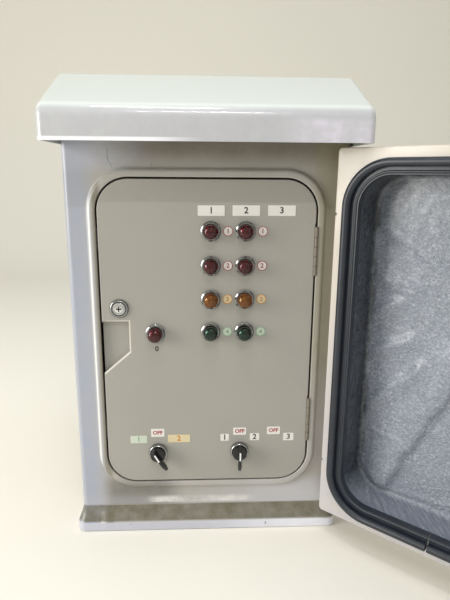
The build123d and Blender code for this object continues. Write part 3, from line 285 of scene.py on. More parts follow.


# %% [markdown]
# ## Gelcoat
# Gelcoat is the hard polyester skin of a glass-fibre moulding. It is glossy when new, with a slow
# waviness from the mould, and weather leaves it patchy: chalk where it is worn, dust in streaks.
# Broad noise mottles the colour and a stretched one makes the scuffs. Then comes a list of places
# with the wear and dirt that this cabinet shows, and with painted light and painted shade where
# light falls on it unevenly.

# %% Gelcoat
def gelcoat(name, colour, worn, soiled, finish, wear, ripple, places=()):
    """finish: roughness, coat and coat roughness. places: colour, amount, ragged and ranges."""
    roughness, coat, coat_roughness = finish
    material, tree, shader = new_material(
        name, Coat_Weight=coat, Coat_Roughness=coat_roughness, IOR=1.5, Specular_IOR_Level=0.5
    )
    at = object_place(tree)
    # Cloudy patches some 70 mm across
    patches = ramped(tree, noise_of(tree, at, 0.07, 5.0), (0.42, 0.0), (0.72, wear))
    # Rubbed streaks, 8 mm wide and eight times as long
    drawn = put(tree, "ShaderNodeMapping", {"Vector": at, "Scale": (1.0, 1.0, 0.12)})
    streaks = noise_of(tree, drawn.outputs["Vector"], 0.008, 7.0, Roughness=0.7)
    scuffs = reckon(tree, "MULTIPLY", ramped(tree, streaks, (0.56, 0.0), (0.74, 1.0)), patches)
    skin = blend(tree, patches, linear(colour), linear(soiled))
    skin = blend(tree, scuffs, skin, linear(worn))
    # Places of wear, weather, painted light and painted shade, each between heights or widths in
    # metres
    axes = put(tree, "ShaderNodeSeparateXYZ", {"Vector": at})
    cloud = noise_of(tree, at, 0.022, 8.0, Roughness=0.65)
    for tint, amount, ragged, ranges in places:
        low = 0.48 - 2 * (1 - ragged)  # the less ragged, the more of the noise counts in full
        links = {"Value": cloud, "From Min": low, "From Max": 0.62, "To Max": amount}
        mask = put(tree, "ShaderNodeMapRange", links).outputs["Result"]
        for axis, none_at, full_at in ranges:
            links = {"Value": axes.outputs[axis], "From Min": none_at, "From Max": full_at}
            fade = put(tree, "ShaderNodeMapRange", links, interpolation_type="SMOOTHSTEP")
            mask = reckon(tree, "MULTIPLY", mask, fade.outputs["Result"])
        skin = blend(tree, mask, skin, linear(tint))
    dulled = spread(tree, streaks, roughness - 0.08, roughness + 0.16)
    # The mould's waviness, 12 mm from crest to crest and less than a tenth of one high
    waves = relief(tree, noise_of(tree, at, 0.012, 3.0), ripple, 0.0006)
    connect(tree, shader, Base_Color=skin, Roughness=dulled, Normal=waves)
    return material


# A range has an axis, where a place has none of its colour, and where it has all of it
BODY_FRONT = ("Y", -0.095, -0.115)
LIP_FRONT = ("Y", -0.1265, -0.1285)
FASCIA = ("Y", -0.200, -0.206)  # the hood's front face
ABOVE_CREASE = ("Z", 0.0400, 0.0420)  # the crease between the body and its flare
FOOT_RIM = ("Z", 0.0165, 0.0140)
BODY_PLACES = (
    # Under the hood the skin is painted darker: partly dirt, partly painted shade from the hood
    ("6E665A", 0.85, 0.2, (("Z", 0.568, 0.600), ("X", -0.165, -0.090))),
    # The left pillar and the header's left end are painted a pale blue-grey: partly scuffing,
    # partly a painted reflection of the window light
    ("9CA2B2", 0.9, 0.6, (("X", -0.148, -0.186), BODY_FRONT)),
    ("B6B8C6", 0.7, 0.8, (("X", -0.060, -0.150), ("Z", 0.560, 0.585), BODY_FRONT)),
    # The left lip has a painted highlight along its crest and painted shade down beside the gap
    ("F2F0EA", 0.7, 0.0, (("X", -0.1750, -0.1720), ("X", -0.1650, -0.1680), LIP_FRONT)),
    ("7C7666", 0.9, 0.2, (("X", -0.1650, -0.1600), ("X", -0.1480, -0.1550), LIP_FRONT)),
    # The hinge side is painted darker and yellower, as painted shade from the open outer door
    ("8C8568", 0.6, 0.4, (("X", 0.140, 0.168), ("Z", 0.150, 0.320), BODY_FRONT)),
    # Road dirt and painted shade make the flare dark olive; the foot's rim is painted white as
    # painted light from the window, whiter towards the hinge side
    ("5F5B48", 0.95, 0.6, (("Z", 0.0150, 0.0180), ("Z", 0.0420, 0.0385))),
    ("BEBFCA", 1.0, 0.0, (FOOT_RIM,)),
    ("F2F2FA", 0.9, 0.0, (FOOT_RIM, ("X", -0.050, 0.190))),
    # The sill is painted lighter towards the hinge side, as painted light, and is darker and
    # browner below the lock side
    ("CCCBD2", 0.6, 0.1, (("X", -0.040, 0.130), ("Z", 0.100, 0.060), ABOVE_CREASE)),
    (
        "726F68",
        0.9,
        0.3,
        (("X", -0.030, -0.080), ("X", -0.175, -0.150), ("Z", 0.100, 0.075), ABOVE_CREASE),
    ),
    # A pale band above the crease, partly scuffs and partly a painted highlight along the crease,
    # with a worn white patch in its middle
    ("B4B4BC", 0.35, 0.4, (("Z", 0.0405, 0.0425), ("Z", 0.066, 0.045))),
    (
        "DDDBD6",
        0.9,
        0.9,
        (("Z", 0.0425, 0.0450), ("Z", 0.058, 0.050), ("X", 0.085, 0.050), ("X", -0.110, -0.080)),
    ),
)
HOOD_PLACES = (
    # The front face is a little darker, with a painted reflection as a pale patch low on the right
    # and a painted highlight along the left of its bottom edge
    ("AFAEB3", 0.9, 0.0, (FASCIA, ("Z", 0.655, 0.645))),
    ("E6E0EE", 0.6, 0.9, (FASCIA, ("X", 0.080, 0.130), ("Z", 0.638, 0.628))),
    ("F4F4F8", 0.9, 0.0, (("Z", 0.6105, 0.6090), ("X", 0.000, -0.080), FASCIA)),
)
DOOR_PLACES = (("ACAEBA", 0.6, 0.75, (("Z", 0.480, 0.160),)),)
GELCOATS = {
    "body": ("ADA9A3", "C8CBD0", "9E9A8D", (0.4, 0.3, 0.12), 0.5, 0.15, BODY_PLACES),
    "hood": ("D4DAD3", "DEE3DC", "CED4CC", (0.3, 1.0, 0.03), 0.08, 0.02, HOOD_PLACES),
    "door": ("CAC1B5", "DDD8D2", "BAB2A7", (0.35, 0.3, 0.12), 0.35, 0.15, DOOR_PLACES),
}
body_gelcoat, hood_gelcoat, door_gelcoat = (
    gelcoat(f"moulded_gelcoat_{name}", *settings) for name, settings in GELCOATS.items()
)
print("gelcoats:", body_gelcoat.name, hood_gelcoat.name, door_gelcoat.name)

# %% [markdown]
# ## Painted steel
# The inner panel is sheet steel with baked satin paint. Its colour is very even. What shows is
# the orange peel, a pebbled skin with grains near a millimetre, and a little dust.

# %% Painted steel
def satin_paint(name, colour, shade):
    material, tree, shader = new_material(name, Specular_IOR_Level=0.45, IOR=1.5)
    at = object_place(tree)
    clouds = noise_of(tree, at, 0.12, 4.0)
    tone = blend(tree, clouds, linear(colour), linear(shade))
    dust = ramped(tree, noise_of(tree, at, 0.0016, 2.0), (0.66, 0.0), (0.8, 0.35))
    dusty = blend(tree, dust, tone, linear("D9D6CE"))
    matt = spread(tree, clouds, 0.36, 0.5)
    peel = relief(tree, noise_of(tree, at, 0.0022, 1.0), 0.12, 0.0002)
    connect(tree, shader, Base_Color=dusty, Roughness=matt, Normal=peel)
    return material


panel_paint = satin_paint("satin_enamel_panel", "A3A098", "9C9991")
print("paint:", panel_paint.name)

# %% [markdown]
# ## Metals
# Zinc-plated steel is grey with a soft spangle, stainless steel has fine drawn lines, and the
# bezels are chrome, almost a mirror. Brass has turned brown in places. A metal's colour is its
# reflection, so only the roughness and a faint tint change over the surface.

# %% Metals
def metal(name, colour, shade, grain_mm, stretch, rough_low, rough_high):
    material, tree, shader = new_material(name, Metallic=1.0)
    drawn = put(tree, "ShaderNodeMapping", {"Vector": object_place(tree), "Scale": stretch})
    grain = noise_of(tree, drawn.outputs["Vector"], grain_mm * MM, 3.0)
    tone = blend(tree, grain, linear(colour), linear(shade))
    matt = spread(tree, grain, rough_low, rough_high)
    brushed = relief(tree, grain, 0.1, 0.0001)
    connect(tree, shader, Base_Color=tone, Roughness=matt, Normal=brushed)
    return material


EVEN = (1.0, 1.0, 1.0)
zinc_plate = metal("zinc_plated_steel", "B9BBBA", "9C9FA0", 5.0, EVEN, 0.28, 0.5)
stainless = metal("drawn_stainless_steel", "C9C8C4", "B2B1AE", 1.2, (1.0, 1.0, 0.06), 0.22, 0.36)
chrome = metal("chromed_brass_bezel", "A9AAAC", "8F9092", 4.0, EVEN, 0.1, 0.2)
dark_nickel = metal("black_nickel_lock", "5E5F63", "4C4D51", 4.0, EVEN, 0.16, 0.3)
polished_zinc = metal("polished_zinc_plug", "E6E7E9", "CFD0D3", 4.0, EVEN, 0.06, 0.14)
brass = metal("tarnished_brass_bar", "C8A55C", "8E7440", 7.0, EVEN, 0.25, 0.5)
aluminium = metal("anodised_aluminium_case", "B4B7BA", "A3A6AA", 0.9, (0.05, 1.0, 1.0), 0.3, 0.42)
print("metals made")

# %% [markdown]
# ## Plastics and rubber
# Moulded plastics differ mostly in gloss and in the fine texture of their mould. The seal is
# EPDM rubber, which is dark, matt and holds grey dust along its top.

# %% Plastics and rubber
def plastic(name, colour, shade, roughness, grain_mm=0.8, depth=0.1):
    material, tree, shader = new_material(name, IOR=1.5)
    at = object_place(tree)
    clouds = noise_of(tree, at, 0.02, 6.0)
    tone = blend(tree, clouds, linear(colour), linear(shade))
    matt = spread(tree, clouds, roughness - 0.06, roughness + 0.08)
    moulded = relief(tree, noise_of(tree, at, grain_mm * MM, 1.0), depth, 0.0002)
    connect(tree, shader, Base_Color=tone, Roughness=matt, Normal=moulded)
    return material


black_plastic = plastic("moulded_black_nylon", "0C0D0F", "15161A", 0.24)
grey_plastic = plastic("moulded_grey_polycarbonate", "8B8F92", "7E8285", 0.42)
pale_plastic = plastic("moulded_pale_abs", "D8D7D0", "CBCAC2", 0.4)
terminal_plastic = plastic("moulded_terminal_polyamide", "BDB8A4", "AFAA96", 0.45)
gland_plastic = plastic("moulded_gland_polyamide", "3A3C3F", "2E3033", 0.45)
seal_rubber = plastic("extruded_epdm_seal", "161A22", "2E343E", 0.36, 1.5, 0.25)
print("plastics made")

# %% [markdown]
# ## Lenses
# A pilot lamp has a clear coloured cap over a ribbed inner cap, and that second skin is what
# gives it depth. The outer skin is transmissive acrylic. The inner one is the same plastic,
# deeper in colour and cut in flat facets that catch the light one by one.

# %% Lens plastics
def lens_plastic(name, colour, transmission, shine):
    material, tree, shader = new_material(
        name, IOR=1.49, Transmission_Weight=transmission, Specular_IOR_Level=shine
    )
    depth = noise_of(tree, object_place(tree), 0.006, 2.0)
    low, high = (tuple(c * k for c in linear(colour)[:3]) + (1.0,) for k in (0.75, 1.15))
    matt = spread(tree, depth, 0.03, 0.1)
    connect(tree, shader, Base_Color=blend(tree, depth, low, high), Roughness=matt)
    return material


LENS_HEX = {
    "red": ("BE1E52", "56041E"),
    "amber": ("E6A818", "846204"),
    "green": ("0E8C68", "033022"),
}
# Caps have little shine, so that their colour stays deep; prisms have more, for their facets
lens_skins, lens_cores = {}, {}
for name, (cap_hex, prism_hex) in LENS_HEX.items():
    lens_skins[name] = lens_plastic(f"acrylic_cap_{name}", cap_hex, 1.0, 0.15)
    lens_cores[name] = lens_plastic(f"acrylic_prism_{name}", prism_hex, 0.0, 0.6)
print("lenses:", list(lens_skins))

# %% [markdown]
# ## Paper and paint for the marks
# The labels are small pieces of laminated paper. Their lettering is printed, so it is a thin flat
# piece with its own ink colour.

# %% Label stock and inks
label_white = plastic("laminated_label_white", "E6E3DC", "DAD7D0", 0.3)
label_cream = plastic("laminated_label_cream", "DACCA8", "D0C098", 0.35)
label_mint = plastic("laminated_label_mint", "CBD1C2", "C0C8B6", 0.35)
ink_black = plastic("printed_ink_black", "26262A", "303036", 0.5)
ink_red = plastic("printed_ink_red", "A02834", "942430", 0.5)
ink_green = plastic("printed_ink_green", "7FB08A", "74A680", 0.5)
ink_amber = plastic("printed_ink_amber", "C8862A", "BC7A20", 0.5)
inlay_white = plastic("filled_white_mark", "F0F0EE", "E4E4E2", 0.4)
print("inks made")

# %% [markdown]
# ## The mouldings
# The big shells are right as the CAD made them, but a CAD mesh is loose triangles. A copy is
# merged by distance, so that its curves can shade as one surface, and stands for the node.

# %% Copies of the moulded shells
MOULD_SMOOTH = 32  # degrees between two faces that still shade as one


def moulded_copy(node, material):
    """A merged, smooth-shaded copy of a CAD node that stands in for it."""
    body = nodes[node]["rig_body"]
    obj = copy_of(nodes[node], f"{node}_moulding")
    obj.parent = None
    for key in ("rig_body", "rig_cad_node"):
        if key in obj:
            del obj[key]
    take(obj)
    bpy.ops.mesh.customdata_custom_splitnormals_clear()
    open_mesh(obj)
    bpy.ops.mesh.select_all(action="SELECT")
    bpy.ops.mesh.remove_doubles(threshold=0.00002)
    close_mesh()
    return settle(obj, body, material, stands_for=(node,), smooth=MOULD_SMOOTH)


for node, slot, material in (
    ("cabinet_shell", "shell_grp", body_gelcoat),
    ("hood", "hood_grp", hood_gelcoat),
    ("outer_door_shell", "door_grp", door_gelcoat),
    ("door_seal", "seal_rubber", seal_rubber),
    ("inner_door", "panel_paint", panel_paint),
    ("outer_hinge_arms", "zinc_steel", zinc_plate),
    ("cable_glands", "gland_plastic", gland_plastic),
):
    made = moulded_copy(node, material)
    print(made.name, len(made.data.vertices), "points")

# %% A softened border round the panel's pocket
# The bevelled border gets a lighter paint: a painted highlight where light catches the pocket's
# rounded edge
pocket_highlight_paint = satin_paint("satin_enamel_painted_highlight", "C9C6BC", "C1BDB2")
panel = bpy.data.objects["inner_door_moulding"]
open_mesh(panel, "EDGE")
# The pocket's limits, a little beyond its edges
POCKET_LEFT, POCKET_RIGHT, POCKET_LOW, POCKET_TOP = -153.0, -116.8, 269.0, 352.7


def on_pocket_edge(edge):
    front = all(abs(v.co.y / MM - PANEL_Y) < 0.05 for v in edge.verts)
    xs, zs = ([v.co[k] / MM for v in edge.verts] for k in (0, 2))
    across = POCKET_LEFT < max(xs) < POCKET_RIGHT
    upright = POCKET_LOW < min(zs) and max(zs) < POCKET_TOP
    return front and across and upright and edge.calc_face_angle(0) > 0.5


found = choose("edges", on_pocket_edge)
bpy.ops.mesh.bevel(offset=2.4 * MM, segments=3, affect="EDGES", clamp_overlap=True)
panel.data.materials.append(pocket_highlight_paint)
panel.active_material_index = 1
bpy.ops.object.material_slot_assign()
close_mesh()
bpy.ops.object.shade_smooth_by_angle(angle=math.radians(MOULD_SMOOTH))
print("pocket edges:", found)

# %% [markdown]
# ## The other solids
# Everything that stays as CAD made it still needs its finish. The table gives each node its
# material by the record's slot.

# %% Finishes for the CAD nodes
SLOT_FINISH = {
    "shell_grp": body_gelcoat,
    "hood_grp": hood_gelcoat,
    "door_grp": door_gelcoat,
    "panel_paint": panel_paint,
    "seal_rubber": seal_rubber,
    "zinc_steel": zinc_plate,
    "stainless": stainless,
    "bezel_chrome": chrome,
    "black_plastic": black_plastic,
    "lens_red": lens_skins["red"],
    "lens_amber": lens_skins["amber"],
    "lens_green": lens_skins["green"],
    "grey_plastic": grey_plastic,
    "pale_plastic": pale_plastic,
    "case_aluminium": aluminium,
    "terminal_plastic": terminal_plastic,
    "brass_bar": brass,
    "gland_plastic": gland_plastic,
}
for part in frame["record"]["subparts"]:
    mesh = nodes[part["node"]].data
    mesh.materials.clear()
    mesh.materials.append(SLOT_FINISH[part["material_slot"]])
hinge_paint = satin_paint("overpainted_steel_hinge", "857D70", "6E675B")
for node in ("inner_hinge_body_leaves", "inner_hinge_door_leaves", "inner_hinge_pins"):
    nodes[node].data.materials[0] = hinge_paint

# %% [markdown]
# ## Turned shapes
# Bezels, lenses and knob discs are all turned: a ring is added, then extruded and resized from
# one radius to the next, just as a lathe steps along a bar. Each ring is a radius and a height.

# %% A lathe made of extrusions
def turned(name, rings, steps=64):
    """Stacks rings of (radius, height) in mm. The last is of radius 0, or joins the first."""
    first, height = rings[0]
    solid = rings[-1][0] == 0
    fill = "NGON" if solid else "NOTHING"
    obj = begin(
        name, bpy.ops.mesh.primitive_circle_add, vertices=steps, radius=first * MM, fill_type=fill
    )
    bpy.ops.transform.translate(value=(0, 0, height * MM))
    for (r0, h0), (r1, h1) in zip(rings, rings[1:] if solid else rings[1:] + rings[:1]):
        bpy.ops.mesh.extrude_region_move(TRANSFORM_OT_translate={"value": (0, 0, (h1 - h0) * MM)})
        k = max(r1, 0.0005) / r0  # a radius of 0 is made tiny first, then merged
        bpy.ops.transform.resize(value=(k, k, 1), center_override=(0, 0, h1 * MM))
    if solid:
        bpy.ops.mesh.merge(type="COLLAPSE")
    bpy.ops.mesh.select_all(action="SELECT")
    bpy.ops.mesh.remove_doubles(threshold=0.000005)
    bpy.ops.mesh.normals_make_consistent(inside=False)
    close_mesh()
    return obj


print("lathe ready")

# %% [markdown]
# ## Lamp bezels and lenses
# A bezel is a chromed ring with a rolled outer edge and a bright inner lip. The lens stands out
# of it as a short barrel with a domed end. Inside it is the prism, a low cone of flat facets.

# %% Bezels
BEZEL_RINGS = [
    (14.0, 1.5), (14.5, 1.9), (14.5, 2.8), (14.2, 3.2), (13.3, 3.6), (12.6, 4.4), (12.2, 5.6),
    (11.8, 6.1), (11.3, 6.1), (11.0, 5.7), (10.85, 5.0), (10.8, 1.6),
]
bezel = turned("lamp_bezel", BEZEL_RINGS)
bezels = [copy_of(bezel, "bezel_copy") for _ in LAMP_PLACES]
for ring, (x, z) in zip(bezels, LAMP_PLACES):
    ring.matrix_world = on_panel(x, z)
bpy.data.objects.remove(bezel)
lamp_rings = settle(
    join_all(bezels, "lamp_bezel_rings"),
    "inner_door",
    chrome,
    stands_for=("lamp_bezels",),
    smooth=50,
)
print(lamp_rings.name, len(lamp_rings.data.polygons), "faces")

# %% Lenses
CAP_RINGS = [
    (10.65, 1.6), (10.65, 11.6), (10.4, 13.6), (9.6, 15.7), (8.2, 17.4), (6.2, 18.6), (3.4, 19.3),
    (0, 19.5),
]
PRISM_RINGS = [(9.7, 1.8), (9.7, 11.0), (8.0, 14.0), (5.0, 16.4), (2.4, 17.4), (0, 17.6)]
LAMP_COLOURS = ["red", "red", "amber", "green"] * 2 + ["red"]
for i, ((x, z), colour) in enumerate(zip(LAMP_PLACES, LAMP_COLOURS), 1):
    place = on_panel(x, z, turn=i * 17)
    cap = turned(f"lamp_cap_{i}", CAP_RINGS)
    slot = f"lens_{colour}"
    settle(cap, "inner_door", lens_skins[colour], place, (f"lamp_lens_{i}",), smooth=60)
    prism = turned(f"lamp_prism_{i}", PRISM_RINGS, steps=12)
    settle(prism, "inner_door", lens_cores[colour], place, smooth=1)
print("lamps:", len(LAMP_PLACES))

# %% [markdown]
# ## Switch knobs
# Each switch has a chrome ring and a black knob: a disc with a tapering lever across it and a
# white line let into the pointer's end. The lever starts as a box that is tapered and bevelled.

# %% Switch rings and knobs
SWITCH_RINGS = [
    (14.0, 1.5), (14.5, 2.0), (14.5, 5.4), (14.1, 6.9), (13.3, 7.8), (12.4, 8.0), (11.6, 7.7),
    (11.3, 7.0), (11.25, 1.6),
]
DISC_RINGS = [
    (10.6, 1.7), (10.6, 8.5), (11.2, 9.0), (11.2, 12.6), (10.8, 13.6), (10.0, 14.0), (0, 14.0),
]
# Where a lever has its tip and tail, and between them its waist and the top of its slope
TIP, WAIST, SLOPE, TAIL = 12.4, -11.5, -20.5, -28.0
rings = []
for i, (x, z, turn) in enumerate(KNOB_PLACES, 1):
    ring = turned(f"switch_ring_{i}", SWITCH_RINGS)
    ring.matrix_world = on_panel(x, z)
    rings.append(ring)
    disc = turned(f"knob_disc_{i}", DISC_RINGS)
    lever = begin(f"knob_lever_{i}", bpy.ops.mesh.primitive_cube_add, size=1)
    bpy.ops.transform.resize(value=(6 * MM, (TIP - TAIL) * MM, 14 * MM))
    bpy.ops.transform.translate(value=(0, (TIP + TAIL) / 2 * MM, 17 * MM))
    for y in (WAIST, SLOPE):
        bpy.ops.mesh.select_all(action="SELECT")
        bpy.ops.mesh.bisect(plane_co=(0, y * MM, 0), plane_no=(0, 1, 0))
    bpy.ops.mesh.select_mode(type="VERT")
    for y, drop in ((TAIL, 8.5), (SLOPE, 5.5), (WAIST, 1.6)):
        choose("verts", lambda v: v.co.z > 20 * MM and abs(v.co.y / MM - y) < 0.5)
        bpy.ops.transform.translate(value=(0, 0, -drop * MM))
    for y, narrowed in ((TIP, 0.7), (WAIST, 0.8), (TAIL, 0.72)):
        choose("verts", lambda v: abs(v.co.y / MM - y) < 0.5)
        bpy.ops.transform.resize(value=(narrowed, 1, 1))
    bpy.ops.mesh.select_mode(type="EDGE")
    choose("edges", lambda e: e.calc_face_angle(0) > math.radians(40))
    bpy.ops.mesh.bevel(offset=1.1 * MM, segments=3, affect="EDGES")
    close_mesh()
    knob = join_all([disc, lever], f"switch_knob_{i}")
    body, where = f"selector_{i}", on_panel(x, z, turn=turn)
    settle(knob, body, black_plastic, where, (f"selector_knob_{i}",), smooth=40)
    # The line lies in the top of the lever's pointer
    middle = (0, 1.0 * MM, 23.98 * MM)
    line = begin(f"knob_line_{i}", bpy.ops.mesh.primitive_cube_add, middle, size=1)
    line.scale = (2.3 * MM, 13.4 * MM, 0.3 * MM)
    bpy.ops.mesh.bevel(offset=0.1 * MM, segments=1, affect="EDGES")
    close_mesh()
    settle(line, body, inlay_white, where)
settle(
    join_all(rings, "switch_rings"),
    "inner_door",
    chrome,
    stands_for=("selector_bezels",),
    smooth=50,
)
print("switches:", len(KNOB_PLACES))

# %% [markdown]
# ## Labels and lettering
# The panel carries little laminated labels. Only generic marks are drawn on them: plain numbers
# and the word OFF. A label is a thin plate with rounded corners, and its text is a flat mesh.

# %% Labels
def label(name, x, z, width, height, text, stock, ink, size):
    """A laminated plate on the panel, with its text."""
    plate = begin(name, bpy.ops.mesh.primitive_plane_add, size=1)
    bpy.ops.transform.resize(value=(width * MM, height * MM, 1))
    bpy.ops.mesh.bevel(offset=0.9 * MM, segments=3, affect="VERTICES")
    bpy.ops.mesh.extrude_region_move(TRANSFORM_OT_translate={"value": (0, 0, 0.35 * MM)})
    bpy.ops.mesh.select_all(action="SELECT")
    bpy.ops.mesh.normals_make_consistent(inside=False)
    close_mesh()
    settle(plate, "inner_door", stock, on_panel(x, z, 0.02))
    letter(f"{name}_text", x, z, text, ink, size, 0.38)


def letter(name, x, z, text, ink, size, out, weight=0.3):
    """Printed text so far out from the panel, its strokes made wider by the weight."""
    bpy.ops.object.select_all(action="DESELECT")
    bpy.ops.object.text_add(location=(0, 0, 0))
    words = bpy.context.object
    words.name = name
    words.data.body = text
    words.data.size = size * MM
    words.data.extrude = 0.04 * MM
    words.data.offset = weight * MM
    words.data.resolution_u = 4
    words.data.align_x = words.data.align_y = "CENTER"
    bpy.ops.object.convert(target="MESH")
    words = bpy.context.object
    settle(words, "inner_door", ink, on_panel(x, z, out), smooth=10)


LABELS = [
    ("header_1", 5.1, 191.6, 38.2, 14.8, "1", ink_black),
    ("header_2", 54.9, 191.8, 39.1, 14.9, "2", ink_black),
    ("header_3", 105.8, 192.0, 39.5, 14.9, "3", ink_black),
    ("left_place_1", -108.0, -162.9, 25.7, 12.6, "1", ink_green),
    ("left_off", -78.2, -152.0, 20.7, 13.6, "OFF", ink_red),
    ("left_place_2", -45.3, -162.2, 34.5, 12.9, "2", ink_amber),
    ("right_place_1", 26.6, -161.5, 13.2, 11.8, "1", ink_black),
    ("right_off_1", 50.2, -151.3, 20.2, 12.4, "OFF", ink_red),
    ("right_place_2", 73.8, -161.3, 14.8, 11.9, "2", ink_black),
    ("right_off_2", 103.6, -150.7, 20.5, 13.0, "OFF", ink_red),
    ("right_place_3", 127.6, -161.8, 16.3, 12.8, "3", ink_black),
]
STOCK = {"left_place_1": label_mint, "left_place_2": label_cream}
for name, x, z, width, height, text, ink in LABELS:
    size = 12.5 if len(text) == 1 else 8.6
    label(name, x, z, width, height, text, STOCK.get(name, label_white), ink, size)
print("labels:", len(LABELS))

# %% Round marks beside the lamps
MARK_STYLES = {
    "red": (label_white, ink_red),
    "amber": (label_cream, ink_amber),
    "green": (label_mint, ink_green),
}
MARK_DISTANCE = 24.8  # from a lamp's middle to its mark's
MARK_DISC = [(7.3, 0.0), (7.3, 0.3), (7.1, 0.35), (0, 0.35)]
MARK_RIM = [(7.2, 0.34), (7.2, 0.44), (6.2, 0.44), (6.2, 0.34)]
marked = LAMP_PLACES[:8]  # all but the single lamp
for i, ((x, z), colour) in enumerate(zip(marked, LAMP_COLOURS), 1):
    stock, ink = MARK_STYLES[colour]
    x += MARK_DISTANCE
    disc = turned(f"mark_disc_{i}", MARK_DISC, 32)
    settle(disc, "inner_door", stock, on_panel(x, z, 0.02))
    rim = turned(f"mark_rim_{i}", MARK_RIM, 32)
    settle(rim, "inner_door", ink, on_panel(x, z, 0.02))
    letter(f"mark_text_{i}", x, z, str((i - 1) % 4 + 1), ink, 9.5, 0.4, 0.2)
letter("single_lamp_text", -76.2, -14.0, "0", ink_black, 11.0, 0.05)
print("round marks:", len(marked))

# %% [markdown]
# ## The lock's face
# The quarter-turn lock shows a dark sloping collar, a bright ring and a domed plug with a cross
# cut into it. Collar and plug are turned; the cross is two bars taken away with a Boolean.

# %% The lock's face
COLLAR_RINGS = [
    (13.8, 0.05), (13.8, 1.6), (13.2, 2.4), (10.6, 3.9), (9.9, 4.0), (9.6, 3.6), (9.6, 0.05),
]
collar = turned("lock_collar", COLLAR_RINGS)
settle(collar, "inner_door", dark_nickel, on_panel(*LOCK_PLACE), smooth=40)
PLUG_RINGS = [
    (8.8, 2.4), (8.8, 3.9), (8.4, 4.3), (7.5, 4.3), (7.2, 2.9), (6.3, 2.9), (6.2, 4.3), (4.6, 5.0),
    (2.4, 5.5), (0, 5.6),
]
plug = turned("lock_plug_face", PLUG_RINGS)
bars = []
for turn in (0, 90):
    bpy.ops.object.select_all(action="DESELECT")
    bpy.ops.mesh.primitive_cube_add(size=1, location=(0, 0, 5.6 * MM))
    bar = bpy.context.object
    bar.scale = (1.8 * MM, 8.2 * MM, 3.4 * MM)
    bar.rotation_euler.z = math.radians(turn)
    bars.append(bar)
cross = join_all(bars, "cross_cutter")
cut = plug.modifiers.new("cross", "BOOLEAN")
cut.object = cross
cut.solver = "EXACT"
cut.use_self = True
apply_all(plug)
settle(plug, "inner_lock", polished_zinc, on_panel(*LOCK_PLACE), smooth=40)
# The cutter itself, sunk to the bottom of its own cut, darkens the cross: painted shade in the
# recess
cross.name = "lock_cross_painted_shade"
settle(cross, "inner_lock", black_plastic, on_panel(*LOCK_PLACE, -3.2))
print("lock face:", len(plug.data.polygons), "faces")

# %% [markdown]
# ## Dirt between the hinges' knuckles
# Each inner hinge has five knuckles on one pin. Grey dirt fills the four joints between them, so
# each joint gets a thin turned ring, a fraction of a millimetre proud of the knuckles.

# %% Knuckle rings
knuckle_dirt = plastic("packed_dark_grease", "2A2723", "37332D", 0.7)
SEAM_RINGS = [(2.5, -0.45), (2.74, -0.3), (2.74, 0.3), (2.5, 0.45)]
PIN_X = 157.25
HINGE_REACH, KNUCKLE = 133.0, 14  # the hinges' distance from the panel's middle, and the pitch
seams = []
for hinge_z in (PANEL_Z - HINGE_REACH, PANEL_Z + HINGE_REACH):
    for k in (-1.5, -0.5, 0.5, 1.5):
        seam = turned("knuckle_seam", SEAM_RINGS, 24)
        where = Vector((PIN_X, PANEL_Y, hinge_z + KNUCKLE * k)) * MM
        seam.matrix_world = Matrix.Translation(where)
        seams.append(seam)
settle(join_all(seams, "knuckle_seams"), "inner_door", knuckle_dirt, smooth=40)
print("knuckle seams:", len(seams))

# %% [markdown]
# ## Hairline cracks and chips
# A gelcoat cracks in fine dark lines where the moulding has been knocked, and chips where it was
# hit. Each is a narrow ribbon, drawn by extruding one edge from point to point off the wall.

# %% Cracks and chips
crack_dark = plastic("open_gelcoat_crack", "706A5E", "5C574C", 0.8)
chip_dark = plastic("chipped_laminate", "5C574B", "46423A", 0.85)
PROUD = 0.06  # how far a ribbon lies before its wall


def ribbon(name, y, points, widths, material):
    """A flat ribbon through (x, z) points on a front wall at y, as wide as given at each point."""
    obj = begin(name, bpy.ops.mesh.primitive_plane_add, size=1)
    bpy.ops.transform.resize(value=(widths[0] * MM, 0.0, 0.0))
    bpy.ops.mesh.remove_doubles(threshold=0.00001)
    x0, z0 = points[0]
    bpy.ops.transform.translate(value=(x0 * MM, y * MM, z0 * MM))
    bpy.ops.mesh.select_all(action="SELECT")
    for (xa, za), (xb, zb), wa, wb in zip(points, points[1:], widths, widths[1:]):
        step = ((xb - xa) * MM, 0.0, (zb - za) * MM)
        bpy.ops.mesh.extrude_edges_move(TRANSFORM_OT_translate={"value": step})
        centre = (xb * MM, y * MM, zb * MM)
        bpy.ops.transform.resize(value=(wb / wa, 1, 1), center_override=centre)
    close_mesh()
    for point in obj.data.vertices:
        point.co.y -= PROUD * MM
    settle(obj, "cabinet", material, smooth=10)


BODY_WALL = -125.0
CRACKS = {
    "crack_left": [
        (-138.3, 600.6), (-138.9, 593.0), (-138.7, 586.1), (-136.0, 580.0), (-133.3, 574.2)
    ],
    "crack_middle": [(-77.6, 580.3), (-77.9, 576.0), (-77.8, 572.2)],
}
for name, line in CRACKS.items():
    # Wider in the middle than at the ends
    widths = [0.3 + 0.35 * math.sin(math.pi * (k + 0.6) / len(line)) for k in range(len(line))]
    ribbon(name, BODY_WALL, line, widths, crack_dark)
FOOT_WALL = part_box("cabinet_shell")[0][1] / MM
CHIPS = {
    "chip_left": [(-126.0, 12.0), (-124.8, 11.0), (-123.0, 10.6)],
    "chip_right": [(94.2, 11.6), (94.6, 9.2), (94.0, 6.4)],
}
for name, line in CHIPS.items():
    ribbon(name, FOOT_WALL, line, [0.8, 1.6, 0.7], chip_dark)
print("cracks:", len(CRACKS), "chips:", len(CHIPS))

